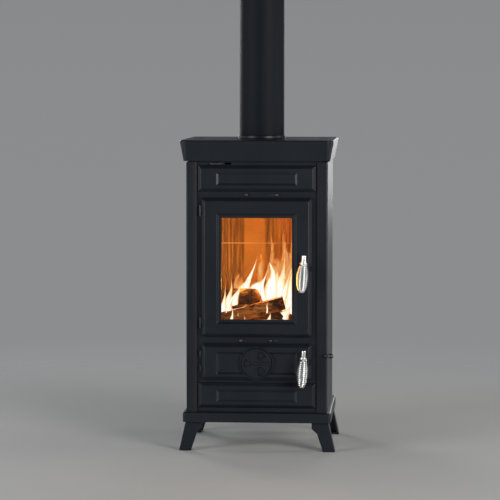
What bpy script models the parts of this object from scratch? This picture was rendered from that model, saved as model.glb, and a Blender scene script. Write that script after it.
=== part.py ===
"""A small wood stove, built as its separate castings, steel panels, doors, linings and controls.

Units are metres, +Z is up and the doors face -Y. The stove stands on z = 0. Sizes are worked out from the
driving dimensions below; in the stove's own frame y = 0 is the front face of the corner posts.
"""

import math

import bmesh
import bpy
import numpy as np
from mathutils import Vector

# General clearances
GAP = 0.0003
SHAFT_GAP = 0.0003
CUT_OVER = 0.002
JOIN_OVER = 0.001
THROUGH = 0.060
CORNER_STEPS = 3

# Heights, stacked from the floor up
LEG_HEIGHT = 0.080
PLINTH_HEIGHT = 0.027
BASE_STRIP = 0.0115
LOWER_TRIM_HEIGHT = 0.0686
ASH_STRIP = 0.0084
ASH_DOOR_HEIGHT = 0.0982
SLIDE_STRIP = 0.0187
FIRE_DOOR_HEIGHT = 0.3755
AIR_STRIP = 0.0165
UPPER_TRIM_HEIGHT = 0.0707
HEAD_STRIP = 0.0086
TOP_SHADOW = 0.003
TOP_PLATE_HEIGHT = 0.056

# Widths of the body and its margins
BODY_WIDTH = 0.382
POST_WIDTH = 0.0285
POST_RETURN = 0.030
POST_THICKNESS = 0.0057
POST_RETURN_THICKNESS = 0.003
POST_CORNER_RADIUS = 0.004
TRIM_MARGIN = 0.003
DOOR_MARGIN = 0.0137

# Depths
BODY_DEPTH = 0.345
SIDE_PANEL_DEPTH = 0.210
SHEET_THICKNESS = 0.002
FRAME_THICKNESS = 0.006
FRAME_LAP = 0.0155
DOOR_PROUD = 0.010
TRIM_PROUD = 0.003

# Doors and trim panels
DOOR_CORNER_RADIUS = 0.008
DOOR_CHAMFER = 0.009
DOOR_CHAMFER_DEPTH = 0.007
OPENING_LAP = 0.0128
OPENING_RADIUS = 0.006
RECESS_BEVEL = 0.005
RECESS_DEPTH = 0.004
WINDOW_SIDE_MARGIN = 0.0412
WINDOW_BOTTOM_MARGIN = 0.0353
WINDOW_TOP_MARGIN = 0.0415
WINDOW_LIP = 0.0125
WINDOW_LIP_THICKNESS = 0.004
ASH_RECESS_SIDE = 0.0402
ASH_RECESS_BOTTOM = 0.0156
ASH_RECESS_TOP = 0.0221
TRIM_CHAMFER = 0.009
TRIM_CHAMFER_DEPTH = 0.006
TRIM_RECESS_SIDE = 0.0505
TRIM_RECESS_BOTTOM = 0.0166
TRIM_RECESS_TOP = 0.019
TRIM_RECESS_DEPTH = 0.003
TRIM_RECESS_BEVEL = 0.006
SHARP_CORNER = 0.001

# Rope seals, glass and its retainer
ROPE_RADIUS = 0.0024
ROPE_INSET = 0.0064
GLASS_THICKNESS = 0.004
GASKET_THICKNESS = 0.0031
GLASS_LAP = 0.009
GLASS_POCKET_SPACE = 0.002
GASKET_INSET = 0.001
GASKET_WIDTH = 0.005
WINDOW_RADIUS = 0.003
RETAINER_THICKNESS = 0.0015
RETAINER_LAP = 0.009
RETAINER_GLASS_LAP = 0.005

# Hinges
HINGE_OFFSET = 0.0037
HINGE_PROUD = 0.003
KNUCKLE_RADIUS = 0.0033
PIN_RADIUS = 0.0015
PIN_HEAD_RADIUS = 0.0026
PIN_HEAD_HEIGHT = 0.0015
FIRE_HINGE_MARGIN = 0.0235
FIRE_HINGE_LENGTH = 0.026
ASH_HINGE_MARGIN = 0.0225
ASH_HINGE_LENGTH = 0.0135
HINGE_WEB_THICKNESS = 0.003
HINGE_LUG_HALF = 0.00264

# Handles and latches
HANDLE_INSET = 0.0198
FIRE_HANDLE_RISE = 0.2153
ASH_HANDLE_RISE = 0.0762
HANDLE_STANDOFF = 0.028
HANDLE_TILT = math.radians(3.6)
NECK_RADIUS = 0.00625
NECK_LENGTH = 0.0186
COLLAR_RADIUS = 0.010
COLLAR_LENGTH = 0.006
CORE_RADIUS = 0.0038
COIL_LENGTH = 0.073
COIL_TURNS = 13
COIL_WIRE_RADIUS = 0.0022
COIL_RADIUS = 0.016
COIL_WIDEST = 0.42
COIL_TOP_RADIUS = 0.0100
COIL_END_RADIUS = 0.0088
POINTS_PER_TURN = 9
BUTTON_RADIUS = 0.008
BUTTON_LENGTH = 0.0035
LATCH_SHAFT_RADIUS = 0.004
NOSE_LENGTH = 0.026
NOSE_WIDTH = 0.006
NOSE_THICKNESS = 0.004
NOSE_REST = math.radians(4.0)
KEEPER_THICKNESS = 0.002
KEEPER_HEIGHT = 0.030
KEEPER_DROP = 0.005
KEEPER_SIDE_GAP = 0.001
KEEPER_EDGE = 0.0005
NECK_EDGE = 0.0015
NOTCH_RISE = 0.178
NOTCH_HEIGHT = 0.017
NOTCH_WIDTH = 0.008
NOTCH_DEPTH = 0.0085
ASH_NOTCH_RISE = 0.042

# Air rosette on the ash door
BOSS_RADIUS = 0.0454
BOSS_PROUD = 0.0025
BOSS_THICKNESS = 0.012
ROSETTE_RADIUS = 0.0395
ROSETTE_DROP = 0.0027
ROSETTE_THICKNESS = 0.004
PETAL_INNER = 0.013
PETAL_OUTER = 0.0345
PETAL_HALF_ANGLE = math.radians(21.0)
PETALS = 3
PETAL_CORNER = 0.93
PETAL_ARC = 0.72
LUG_START = 0.0075
LUG_HEIGHT = 0.0065
LUG_PROUD = 0.003
ROSETTE_BOLT_RADIUS = 0.003
ROSETTE_HEAD_RADIUS = 0.0058
ROSETTE_HEAD_LENGTH = 0.0035
ROSETTE_BOLT_END = 0.003

# Air slides, secondary air lever and riddling rod
SLIDE_HALF_LENGTH = 0.075
SLIDE_HEIGHT = 0.013
SLIDE_THICKNESS = 0.002
SLIDE_TRAVEL = 0.018
STUD_HEAD_RADIUS = 0.00475
STUD_HEAD_LENGTH = 0.006
STUD_SHANK_RADIUS = 0.0019
UPPER_STUDS = (-0.028, 0.053)
LOWER_STUDS = (-0.043, 0.038)
LOWER_STUD_RISE = 0.0073
UPPER_STUD_RISE = 0.0076
LEVER_INSET = 0.079
LEVER_WIDTH = 0.024
LEVER_THICKNESS = 0.005
LEVER_TRAVEL = 0.030
LEVER_PROUD = 0.006
LEVER_SEAT = 0.0005
RIDDLE_INSET = 0.0065
RIDDLE_RISE = 0.0682
RIDDLE_ROD_RADIUS = 0.0028
RIDDLE_PROUD = 0.012
RIDDLE_TRAVEL = 0.020
RIDDLE_KNOB_RADIUS = 0.0065
RIDDLE_KNOB_LENGTH = 0.015
RIDDLE_CROSS_RISE = 0.090
RIDDLE_CRANK = 0.030
RIDDLE_BEND = 0.005
RIDDLE_BENT_LENGTH = 0.0075
RIDDLE_SLOT_SPACE = 0.001

# Firebox, linings and ash pan
FIREBOX_SIDE_SPACE = 0.041
FIREBOX_WALL = 0.004
FIREBOX_BACK_SPACE = 0.025
FIREBOX_TOP_SPACE = 0.097
PAN_CLEARANCE = 0.002
HEARTH_THICKNESS = 0.008
HEARTH_DROP = 0.0168
HEARTH_SETBACK = 0.003
BRICK_THICKNESS = 0.025
BRICK_JOINT_RISE = 0.240
BRICK_TOP_DROP = 0.050
BRICK_FRONT = 0.040
RIB_WIDTH = 0.004
RIB_DEPTH = 0.003
RIB_PITCH = 0.012
RIB_MARGIN = 0.004
PLAIN_X = -0.027
PLAIN_HALF_WIDTH = 0.0285
BAFFLE_THICKNESS = 0.010
BAFFLE_FRONT = 0.065
BAFFLE_EDGE = 0.0015
GUARD_EDGE = 0.001
GUARD_HEIGHT = 0.040
GUARD_THICKNESS = 0.004
GUARD_SIDE_GAP = 0.0027
GUARD_SETBACK = 0.0095
GRATE_HALF_WIDTH = 0.070
GRATE_DEPTH = 0.150
GRATE_CENTRE_Y = 0.175
GRATE_SLOTS = 7
GRATE_SLOT_WIDTH = 0.008
GRATE_END = 0.012
GRATE_SIDE = 0.015
GRATE_LEDGE_HALF = 0.008
GRATE_LEDGE_HEIGHT = 0.0025
GRATE_LUG_INSET = 0.014
GRATE_LUG_HALF_WIDTH = 0.004
GRATE_LUG_HALF_DEPTH = 0.006
PAN_SIDE_SPACE = 0.026
PAN_DEPTH = 0.255
PAN_HEIGHT = 0.056
PAN_WALL = 0.0015
PAN_FRONT = 0.0252
PAN_GRIP_HALF = 0.030
PAN_GRIP_REACH = 0.008
PAN_GRIP_DROP = 0.002
PAN_GRIP_THICKNESS = 0.002

# Base and legs
PLINTH_OVERHANG = 0.0097
PLINTH_FRONT = 0.009
PLINTH_REAR = 0.006
PLINTH_RADIUS = 0.007
PLINTH_EDGE = 0.0044
PLINTH_WALL = 0.005
LEG_SPREAD = 0.018
LEG_DEPTH = 0.040
LEG_WALL = 0.006
LEG_INSET = 0.004
LEG_FOOT_WIDTH = 0.0325
LEG_FLANGE_THICKNESS = 0.006
LEG_OUTSET = 0.003
LEG_TOP_WIDTH = 0.0455
LEG_INNER_SPREAD = 0.0262
LEG_BRACKET_LOW = 0.62
LEG_BRACKET_HIGH = 0.80
LEG_BRACKET_DEPTH = 0.008
LEG_PAD_SHARE = 0.8
LEG_PAD_INSET = 0.0004

# Top plate and flue
TOP_OVERHANG = 0.016
TOP_FLARE = 0.010
TOP_WALL = 0.006
TOP_EDGE_SHARE = 0.3
TOP_EDGE = 0.004
TOP_CORNER_RADIUS = 0.010
TOP_FRONT = 0.012
VENT_SLOTS = 7
VENT_LENGTH = 0.026
VENT_WIDTH = 0.006
VENT_PITCH = 0.018
VENT_INSET = 0.034
FLUE_CENTRE_Y = 0.204
FLUE_RADIUS = 0.062
FLUE_WALL = 0.002
FLUE_LENGTH = 0.500
COLLAR_WALL = 0.005
COLLAR_RIM_RADIUS = 0.0655
COLLAR_RIM_HEIGHT = 0.008
COLLAR_SPIGOT = 0.030
LOUVRES = 6
LOUVRE_LENGTH = 0.180
LOUVRE_WIDTH = 0.007
LOUVRE_PITCH = 0.018
LOUVRE_MARGIN = 0.050
UPSTAND_LAP = 0.010

# Places worked out from the sizes above
POST_OUTER = BODY_WIDTH / 2
POST_INNER = POST_OUTER - POST_WIDTH
BODY_Z = LEG_HEIGHT + GAP + PLINTH_HEIGHT + GAP
LOWER_TRIM_Z = BODY_Z + BASE_STRIP
ASH_DOOR_Z = LOWER_TRIM_Z + LOWER_TRIM_HEIGHT + ASH_STRIP
ASH_DOOR_TOP = ASH_DOOR_Z + ASH_DOOR_HEIGHT
FIRE_DOOR_Z = ASH_DOOR_TOP + SLIDE_STRIP
FIRE_DOOR_TOP = FIRE_DOOR_Z + FIRE_DOOR_HEIGHT
UPPER_TRIM_Z = FIRE_DOOR_TOP + AIR_STRIP
UPPER_TRIM_TOP = UPPER_TRIM_Z + UPPER_TRIM_HEIGHT
BODY_TOP = UPPER_TRIM_TOP + HEAD_STRIP
TOP_PLATE_Z = BODY_TOP + TOP_SHADOW
STOVE_TOP = TOP_PLATE_Z + TOP_PLATE_HEIGHT
TOP_INSIDE = STOVE_TOP - TOP_WALL
FRAME_FRONT = POST_THICKNESS + GAP
FRAME_BACK = FRAME_FRONT + FRAME_THICKNESS
FRAME_HALF = POST_INNER + FRAME_LAP
TRIM_HALF = POST_INNER - TRIM_MARGIN
DOOR_HALF = POST_INNER - DOOR_MARGIN
DOOR_BACK = FRAME_FRONT - GAP
OPENING_HALF = DOOR_HALF - OPENING_LAP
PAN_HALF_WIDTH = OPENING_HALF - PAN_SIDE_SPACE
HANDLE_X = DOOR_HALF - HANDLE_INSET
HANDLE_Y = -DOOR_PROUD - HANDLE_STANDOFF
FIRE_HANDLE_Z = FIRE_DOOR_Z + FIRE_HANDLE_RISE
ASH_HANDLE_Z = ASH_DOOR_Z + ASH_HANDLE_RISE
HINGE_X = -DOOR_HALF - HINGE_OFFSET
HINGE_Y = -HINGE_PROUD
ROSETTE_Z = ASH_DOOR_Z + ASH_DOOR_HEIGHT / 2 - ROSETTE_DROP
BOSS_FRONT = -DOOR_PROUD - BOSS_PROUD
FIREBOX_FRONT = FRAME_BACK + GAP
FIREBOX_REAR = BODY_DEPTH - FIREBOX_BACK_SPACE
FIREBOX_HALF_WIDTH = POST_OUTER - FIREBOX_SIDE_SPACE
FIREBOX_INNER = FIREBOX_HALF_WIDTH - FIREBOX_WALL
FIREBOX_FLOOR = ASH_DOOR_Z + OPENING_LAP + PAN_CLEARANCE
FIREBOX_TOP = TOP_INSIDE - FIREBOX_TOP_SPACE
LINING_REAR = FIREBOX_REAR - FIREBOX_WALL - GAP
HEARTH_TOP = FIRE_DOOR_Z - HEARTH_DROP + HEARTH_THICKNESS
HEARTH_Z = HEARTH_TOP - HEARTH_THICKNESS
LINING_HALF = FIREBOX_INNER - GAP
LINING_INNER = LINING_HALF - BRICK_THICKNESS
GUARD_HALF_WIDTH = LINING_INNER - GUARD_SIDE_GAP
BRICK_Z = HEARTH_TOP + GAP
BRICK_JOINT_Z = BRICK_Z + BRICK_JOINT_RISE
BRICK_TOP = FIREBOX_TOP - BRICK_TOP_DROP
SLIDE_Y = FRAME_BACK + GAP
LOWER_STUD_Z = ASH_DOOR_TOP + LOWER_STUD_RISE
UPPER_STUD_Z = FIRE_DOOR_TOP + UPPER_STUD_RISE
LEVER_X = LEVER_INSET - POST_OUTER
LEVER_Z = UPPER_TRIM_TOP + HEAD_STRIP / 2
RIDDLE_X = POST_OUTER - RIDDLE_INSET
RIDDLE_Z = ASH_DOOR_Z + RIDDLE_RISE
RIDDLE_CROSS_Z = ASH_DOOR_Z + RIDDLE_CROSS_RISE
COLLAR_OUTER = FLUE_RADIUS - FLUE_WALL - GAP
PIPE_Z = STOVE_TOP + GAP + COLLAR_RIM_HEIGHT + GAP
TOP_BACK = BODY_DEPTH + TOP_WALL + JOIN_OVER
FRONT_REACH = HANDLE_Y - COIL_RADIUS
BACK_REACH = TOP_BACK + TOP_FLARE


# Scene helpers

def clear_scene():
    for item in list(bpy.data.objects):
        bpy.data.objects.remove(item, do_unlink=True)


def new_collection(name, hidden=False):
    made = bpy.data.collections.new(name)
    bpy.context.scene.collection.children.link(made)
    made.hide_render = hidden
    return made


clear_scene()
PARTS = new_collection("wood_stove")
CUTTERS = new_collection("wood_stove_cutters", hidden=True)


def finish(name, colour, roughness, metallic=0.0, alpha=1.0):
    """A Principled material; an alpha under one lets light through."""
    made = bpy.data.materials.new(name)
    made.use_nodes = True
    shader = made.node_tree.nodes["Principled BSDF"]
    shader.inputs["Base Color"].default_value = (*colour, 1.0)
    shader.inputs["Roughness"].default_value = roughness
    shader.inputs["Metallic"].default_value = metallic
    shader.inputs["Alpha"].default_value = alpha
    made.diffuse_color = (*colour, alpha)
    return made


CAST_PAINT = finish("cast_paint", (0.020, 0.023, 0.028), 0.55)
SHEET_PAINT = finish("sheet_paint", (0.018, 0.021, 0.026), 0.42)
PIPE_ENAMEL = finish("pipe_enamel", (0.010, 0.013, 0.020), 0.35)
CHROME = finish("chrome", (0.80, 0.80, 0.79), 0.10, 1.0)
STEEL = finish("steel", (0.085, 0.087, 0.092), 0.38, 1.0)
RAW_IRON = finish("raw_iron", (0.045, 0.040, 0.036), 0.70)
BRICK = finish("vermiculite", (0.62, 0.42, 0.22), 0.90)
ROPE = finish("rope_seal", (0.035, 0.034, 0.033), 0.95)
GLASS = finish("ceramic_glass", (0.90, 0.78, 0.60), 0.05, 0.0, 0.20)


def pivot(name, place, parent=None):
    """An empty on a joint's axis, at a place in the stove's own frame."""
    made = bpy.data.objects.new(name, None)
    made.empty_display_size = 0.03
    PARTS.objects.link(made)
    made.parent = parent
    made.location = Vector(place) - place_of(parent)
    return made


def place_of(item):
    """Where an empty stands in the stove's own frame; the outermost empty is that frame's origin."""
    place = Vector()
    while item is not None and item.parent is not None:
        place += item.location
        item = item.parent
    return place


def add(name, mesh, material, parent, place=(0.0, 0.0, 0.0), turn=(0.0, 0.0, 0.0)):
    made = bpy.data.objects.new(name, mesh)
    PARTS.objects.link(made)
    made.data.materials.append(material)
    made.parent = parent
    made.location = Vector(place) - place_of(parent)
    made.rotation_euler = turn
    return made


def tool(name, mesh, place=(0.0, 0.0, 0.0), turn=(0.0, 0.0, 0.0), parent=None):
    """A hidden shape for a Boolean, placed in the stove's own frame."""
    made = bpy.data.objects.new(name, mesh)
    CUTTERS.objects.link(made)
    made.parent = parent or STOVE
    made.location = Vector(place) - place_of(made.parent)
    made.rotation_euler = turn
    made.hide_render = True
    made.display_type = "WIRE"
    return made


def combine(target, other, operation):
    step = target.modifiers.new(operation.title() + "_" + other.name, "BOOLEAN")
    step.operation = operation
    step.object = other
    step.solver = "EXACT"
    return target


def cut(target, other):
    return combine(target, other, "DIFFERENCE")


def unite(target, other):
    return combine(target, other, "UNION")


def bevel(target, width):
    step = target.modifiers.new("Edge", "BEVEL")
    step.width = width
    step.segments = 1
    step.limit_method = "ANGLE"
    return target


# Shape helpers

def mesh_from(name, shape):
    bmesh.ops.recalc_face_normals(shape, faces=shape.faces)
    mesh = bpy.data.meshes.new(name)
    shape.to_mesh(mesh)
    shape.free()
    return mesh


def boxes_mesh(name, boxes):
    """One mesh of closed boxes, each from its low and high corners."""
    shape = bmesh.new()
    for low, high in boxes:
        low, high = Vector(low), Vector(high)
        made = bmesh.ops.create_cube(shape, size=1.0)["verts"]
        bmesh.ops.scale(shape, vec=high - low, verts=made)
        bmesh.ops.translate(shape, vec=(low + high) / 2, verts=made)
    return mesh_from(name, shape)


def box(name, low, high, material, parent, edge=0.0):
    """A box with its origin at its middle."""
    low, high = Vector(low), Vector(high)
    half = (high - low) / 2
    made = add(name, boxes_mesh(name, [(-half, half)]), material, parent, (low + high) / 2)
    return bevel(made, edge) if edge else made


def box_tool(name, low, high, parent=None):
    low, high = Vector(low), Vector(high)
    half = (high - low) / 2
    return tool(name, boxes_mesh(name, [(-half, half)]), (low + high) / 2, parent=parent)


def cylinder_mesh(name, radius, length, steps):
    """A cylinder along z, from 0 to its length."""
    shape = bmesh.new()
    bmesh.ops.create_cone(
        shape, cap_ends=True, segments=steps, radius1=radius, radius2=radius, depth=length,
    )
    bmesh.ops.translate(shape, vec=(0.0, 0.0, length / 2), verts=shape.verts)
    return mesh_from(name, shape)


def rounded_rectangle(low, high, radius, steps=CORNER_STEPS):
    """(n, 2) points of a rectangle with round corners, anticlockwise from its lower right corner."""
    quarter = np.linspace(0.0, math.pi / 2, steps + 1)
    centres = (
        (high[0] - radius, low[1] + radius), (high[0] - radius, high[1] - radius),
        (low[0] + radius, high[1] - radius), (low[0] + radius, low[1] + radius),
    )
    corners = []
    for number, (x, y) in enumerate(centres):
        angle = quarter + (number - 1) * math.pi / 2
        corners.append(np.column_stack([x + radius * np.cos(angle), y + radius * np.sin(angle)]))
    return np.concatenate(corners)


def front_ring(half, low, high, radius, y, inset=0.0):
    """A rounded rectangle facing the front at one depth, drawn in by an inset on every side."""
    flat = rounded_rectangle(
        (-half + inset, low + inset), (half - inset, high - inset), max(radius - inset, SHARP_CORNER)
    )
    return np.column_stack([flat[:, 0], np.full(len(flat), y), flat[:, 1]])


def level_ring(half, front, back, radius, z, grow=0.0):
    """A rounded rectangle lying flat at one height, widened by grow on every side."""
    flat = rounded_rectangle(
        (-half - grow, front - grow), (half + grow, back + grow), max(radius + grow, SHARP_CORNER)
    )
    return np.column_stack([flat, np.full(len(flat), z)])


def skin(name, rings, loop=False):
    """Walls between rings of equal count; the last joins the first in a loop, or both ends are capped."""
    shape = bmesh.new()
    rows = [[shape.verts.new(point) for point in ring] for ring in rings]
    pairs = list(zip(rows, rows[1:] + rows[:1])) if loop else list(zip(rows, rows[1:]))
    for low, high in pairs:
        for i in range(len(low)):
            j = (i + 1) % len(low)
            shape.faces.new((low[i], low[j], high[j], high[i]))
    if not loop:
        shape.faces.new(rows[0])
        shape.faces.new(rows[-1])
    return mesh_from(name, shape)


def prism(name, outline, low, high):
    """A flat outline of (x, y) points drawn up from one height to another."""
    flat = np.asarray(outline, float)
    return skin(name, [np.column_stack([flat, np.full(len(flat), level)]) for level in (low, high)])


def turned(name, profile, material, parent, place, turn=(0.0, 0.0, 0.0), steps=16, ring=False):
    """A profile of (radius, z) points turned about z. It runs down the outer side; a ring closes on itself."""
    mesh = bpy.data.meshes.new(name)
    edges = [(i, i + 1) for i in range(len(profile) - 1)]
    if ring:
        edges.append((len(profile) - 1, 0))
    mesh.from_pydata([(radius, 0.0, z) for radius, z in profile], edges, [])
    made = add(name, mesh, material, parent, place, turn)
    step = made.modifiers.new("Turn", "SCREW")
    step.steps = step.render_steps = steps
    step.use_merge_vertices = True
    step.merge_threshold = 0.00001
    step.use_smooth_shade = True
    return made


def rod(name, points, radius, material, parent, place=(0.0, 0.0, 0.0), turn=(0.0, 0.0, 0.0), sides=1,
        cyclic=False):
    """A round bar along points, as a curve with filled ends."""
    curve = bpy.data.curves.new(name, "CURVE")
    curve.dimensions = "3D"
    curve.bevel_depth = radius
    curve.bevel_resolution = sides
    curve.use_fill_caps = not cyclic
    line = curve.splines.new("POLY")
    line.points.add(len(points) - 1)
    for spot, point in zip(line.points, points):
        spot.co = (*point, 1.0)
    line.use_cyclic_u = cyclic
    return add(name, curve, material, parent, place, turn)


def bent(corners, radius, steps=3):
    """Points of a path with each inner corner rounded by a circular bend."""
    corners = [Vector(corner) for corner in corners]
    points = [corners[0]]
    for before, corner, after in zip(corners, corners[1:], corners[2:]):
        come, leave = (before - corner).normalized(), (after - corner).normalized()
        for i in range(steps + 1):
            t = i / steps
            start, end = corner + come * radius, corner + leave * radius
            points.append(start.lerp(corner, t).lerp(corner.lerp(end, t), t))
    points.append(corners[-1])
    return points


STOVE = pivot("stove", (0.0, 0.0, 0.0))
STOVE.location = (0.0, -(FRONT_REACH + BACK_REACH) / 2, 0.0)
DOWN_Y = (math.pi / 2, 0.0, 0.0)


# Base, legs and casing

def make_plinth():
    """A shallow cast tray, open below, with a rounded top edge and a pad over each leg."""
    half = POST_OUTER + PLINTH_OVERHANG
    front, back = -PLINTH_FRONT, BODY_DEPTH + PLINTH_REAR
    low = LEG_HEIGHT + GAP
    top = low + PLINTH_HEIGHT
    inner_top = top - PLINTH_WALL
    rings = [
        level_ring(half, front, back, PLINTH_RADIUS, low, -PLINTH_WALL),
        level_ring(half, front, back, PLINTH_RADIUS, low),
        level_ring(half, front, back, PLINTH_RADIUS, top - PLINTH_EDGE),
        level_ring(half, front, back, PLINTH_RADIUS, top - PLINTH_EDGE * 0.3, -PLINTH_EDGE * 0.3),
        level_ring(half, front, back, PLINTH_RADIUS, top, -PLINTH_EDGE),
    ]
    inner = [
        level_ring(half, front, back, PLINTH_RADIUS, low, -PLINTH_WALL),
        level_ring(half, front, back, PLINTH_RADIUS, inner_top, -PLINTH_WALL),
    ]
    plinth = add("base_plinth", skin("base_plinth", inner[::-1] + rings[1:]), CAST_PAINT, STOVE)
    pads = []
    for side in (-1, 1):
        for y in leg_fronts():
            xs = sorted((side * (half - PLINTH_WALL + JOIN_OVER), side * (half - LEG_DEPTH - PLINTH_WALL)))
            pads.append(((xs[0], y, low), (xs[1], y + LEG_DEPTH, inner_top + JOIN_OVER)))
    unite(plinth, tool("plinth_pads", boxes_mesh("plinth_pads", pads)))
    return plinth


def leg_fronts():
    """The front edge of each pair of legs."""
    return (LEG_INSET, BODY_DEPTH - LEG_INSET - LEG_DEPTH)


def leg_section(height, side, facing, front):
    """One level of a splayed angle-section leg, which widens to a bracket below its flange."""
    share = height / LEG_HEIGHT
    top = POST_OUTER + LEG_OUTSET
    outer = top + LEG_SPREAD * (1.0 - share)
    bracket = np.clip((share - LEG_BRACKET_LOW) / (LEG_BRACKET_HIGH - LEG_BRACKET_LOW), 0.0, 1.0)
    plain = top + LEG_SPREAD - LEG_FOOT_WIDTH - LEG_INNER_SPREAD * share
    inner = plain + (top - LEG_TOP_WIDTH - plain) * bracket
    xs = side * np.array([outer, inner, inner, outer - LEG_WALL, outer - LEG_WALL, outer])
    reach = LEG_DEPTH - LEG_BRACKET_DEPTH * (1.0 - bracket)
    ys = np.array([0.0, 0.0, LEG_WALL, LEG_WALL, reach, reach])
    near = front if facing < 0 else front + LEG_DEPTH
    return np.column_stack([xs, near - facing * ys, np.full(6, height)])


def make_leg(name, side, facing, front):
    """A cast leg: the splayed angle, with a bolting flange on top and a pad on the floor."""
    heights = [0.0, LEG_HEIGHT * LEG_BRACKET_LOW, LEG_HEIGHT * LEG_BRACKET_HIGH,
               LEG_HEIGHT - LEG_FLANGE_THICKNESS / 2]
    leg = add(name, skin(name, [leg_section(z, side, facing, front) for z in heights]), CAST_PAINT, STOVE)
    top = leg_section(LEG_HEIGHT, side, facing, front)
    foot = leg_section(0.0, side, facing, front)
    inset = LEG_PAD_INSET
    for part, edges, low, high in (
        ("flange", top, LEG_HEIGHT - LEG_FLANGE_THICKNESS, LEG_HEIGHT),
        ("pad", foot, 0.0, LEG_FLANGE_THICKNESS * LEG_PAD_SHARE),
    ):
        xs, ys = (edges[:, 0].min(), edges[:, 0].max()), (edges[:, 1].min(), edges[:, 1].max())
        unite(leg, box_tool(
            f"{name}_{part}", (xs[0] + inset, ys[0] + inset, low), (xs[1] - inset, ys[1] - inset, high)
        ))
    return leg


def make_legs():
    front, rear = leg_fronts()
    for place, side in (("left", -1), ("right", 1)):
        make_leg(f"leg_front_{place}", side, -1, front)
        make_leg(f"leg_rear_{place}", side, 1, rear)


def make_post(name, side):
    """A corner post: a flat front bar that wraps round the corner and runs back along the side."""
    radius = POST_CORNER_RADIUS
    angles = np.linspace(0.0, math.pi / 2, 4)
    corner = [
        (POST_OUTER - radius + radius * math.sin(a), radius - radius * math.cos(a)) for a in angles
    ]
    outline = [(POST_INNER, 0.0)] + corner + [
        (POST_OUTER, POST_RETURN), (POST_OUTER - POST_RETURN_THICKNESS, POST_RETURN),
        (POST_OUTER - POST_RETURN_THICKNESS, POST_THICKNESS), (POST_INNER, POST_THICKNESS),
    ]
    outline = [(side * x, y) for x, y in outline]
    post = add(name, prism(name, outline, BODY_Z, BODY_TOP), SHEET_PAINT, STOVE)
    if side > 0:
        cut(post, tool("riddle_hole_tool", cylinder_mesh("riddle_hole_tool", RIDDLE_ROD_RADIUS + SHAFT_GAP,
                                                         2 * POST_RETURN, 16),
                       (RIDDLE_X, POST_RETURN, RIDDLE_Z), DOWN_Y))
    return post


def make_side_panels():
    for place, side in (("left", -1), ("right", 1)):
        xs = sorted((side * POST_OUTER, side * (POST_OUTER - SHEET_THICKNESS)))
        front = POST_RETURN + GAP
        box(f"side_panel_{place}", (xs[0], front, BODY_Z), (xs[1], front + SIDE_PANEL_DEPTH, BODY_TOP),
            SHEET_PAINT, STOVE)


def make_back_cover():
    """A sheet bent round the back, with louvres, and an upstand that carries the rear of the top plate."""
    front = POST_RETURN + GAP + SIDE_PANEL_DEPTH + GAP
    outer = [(POST_OUTER, front), (POST_OUTER, BODY_DEPTH), (-POST_OUTER, BODY_DEPTH), (-POST_OUTER, front)]
    wall = SHEET_THICKNESS
    inner = [
        (-POST_OUTER + wall, front), (-POST_OUTER + wall, BODY_DEPTH - wall),
        (POST_OUTER - wall, BODY_DEPTH - wall), (POST_OUTER - wall, front),
    ]
    cover = add("back_cover", prism("back_cover", outer + inner, BODY_Z, BODY_TOP), SHEET_PAINT, STOVE)
    unite(cover, box_tool(
        "back_upstand", (-FIREBOX_HALF_WIDTH, BODY_DEPTH - wall, BODY_TOP - UPSTAND_LAP),
        (FIREBOX_HALF_WIDTH, BODY_DEPTH, TOP_INSIDE - GAP),
    ))
    slots = []
    for start in (BODY_Z + LOUVRE_MARGIN, BODY_TOP - LOUVRE_MARGIN - LOUVRES * LOUVRE_PITCH):
        for i in range(LOUVRES):
            z = start + i * LOUVRE_PITCH
            slots.append(((-LOUVRE_LENGTH / 2, BODY_DEPTH - 2 * wall, z),
                          (LOUVRE_LENGTH / 2, BODY_DEPTH + wall, z + LOUVRE_WIDTH)))
    cut(cover, tool("louvre_tool", boxes_mesh("louvre_tool", slots)))
    return cover


def opening_rings(low, high):
    """A door opening through the front frame, lapped by its door on all sides."""
    return [
        front_ring(DOOR_HALF, low, high, DOOR_CORNER_RADIUS + OPENING_RADIUS, y, OPENING_LAP)
        for y in (FRAME_FRONT - FRAME_THICKNESS, FRAME_BACK + FRAME_THICKNESS)
    ]


def slot_boxes(studs, z, direction):
    """Slots in the front frame for the studs of one air slide, each open on the side it travels to."""
    half = STUD_SHANK_RADIUS + GAP
    boxes = []
    for x in studs:
        ends = sorted((x - direction * half, x + direction * (SLIDE_TRAVEL + half)))
        boxes.append(((ends[0], FRAME_FRONT - CUT_OVER, z - half), (ends[1], FRAME_BACK + CUT_OVER, z + half)))
    return boxes


def hinge_places():
    """(name, low, length) of each hinge: two on each door."""
    return (
        ("fire_hinge_lower", FIRE_DOOR_Z + FIRE_HINGE_MARGIN, FIRE_HINGE_LENGTH),
        ("fire_hinge_upper", FIRE_DOOR_TOP - FIRE_HINGE_MARGIN - FIRE_HINGE_LENGTH, FIRE_HINGE_LENGTH),
        ("ash_hinge_lower", ASH_DOOR_Z + ASH_HINGE_MARGIN, ASH_HINGE_LENGTH),
        ("ash_hinge_upper", ASH_DOOR_TOP - ASH_HINGE_MARGIN - ASH_HINGE_LENGTH, ASH_HINGE_LENGTH),
    )


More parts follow.
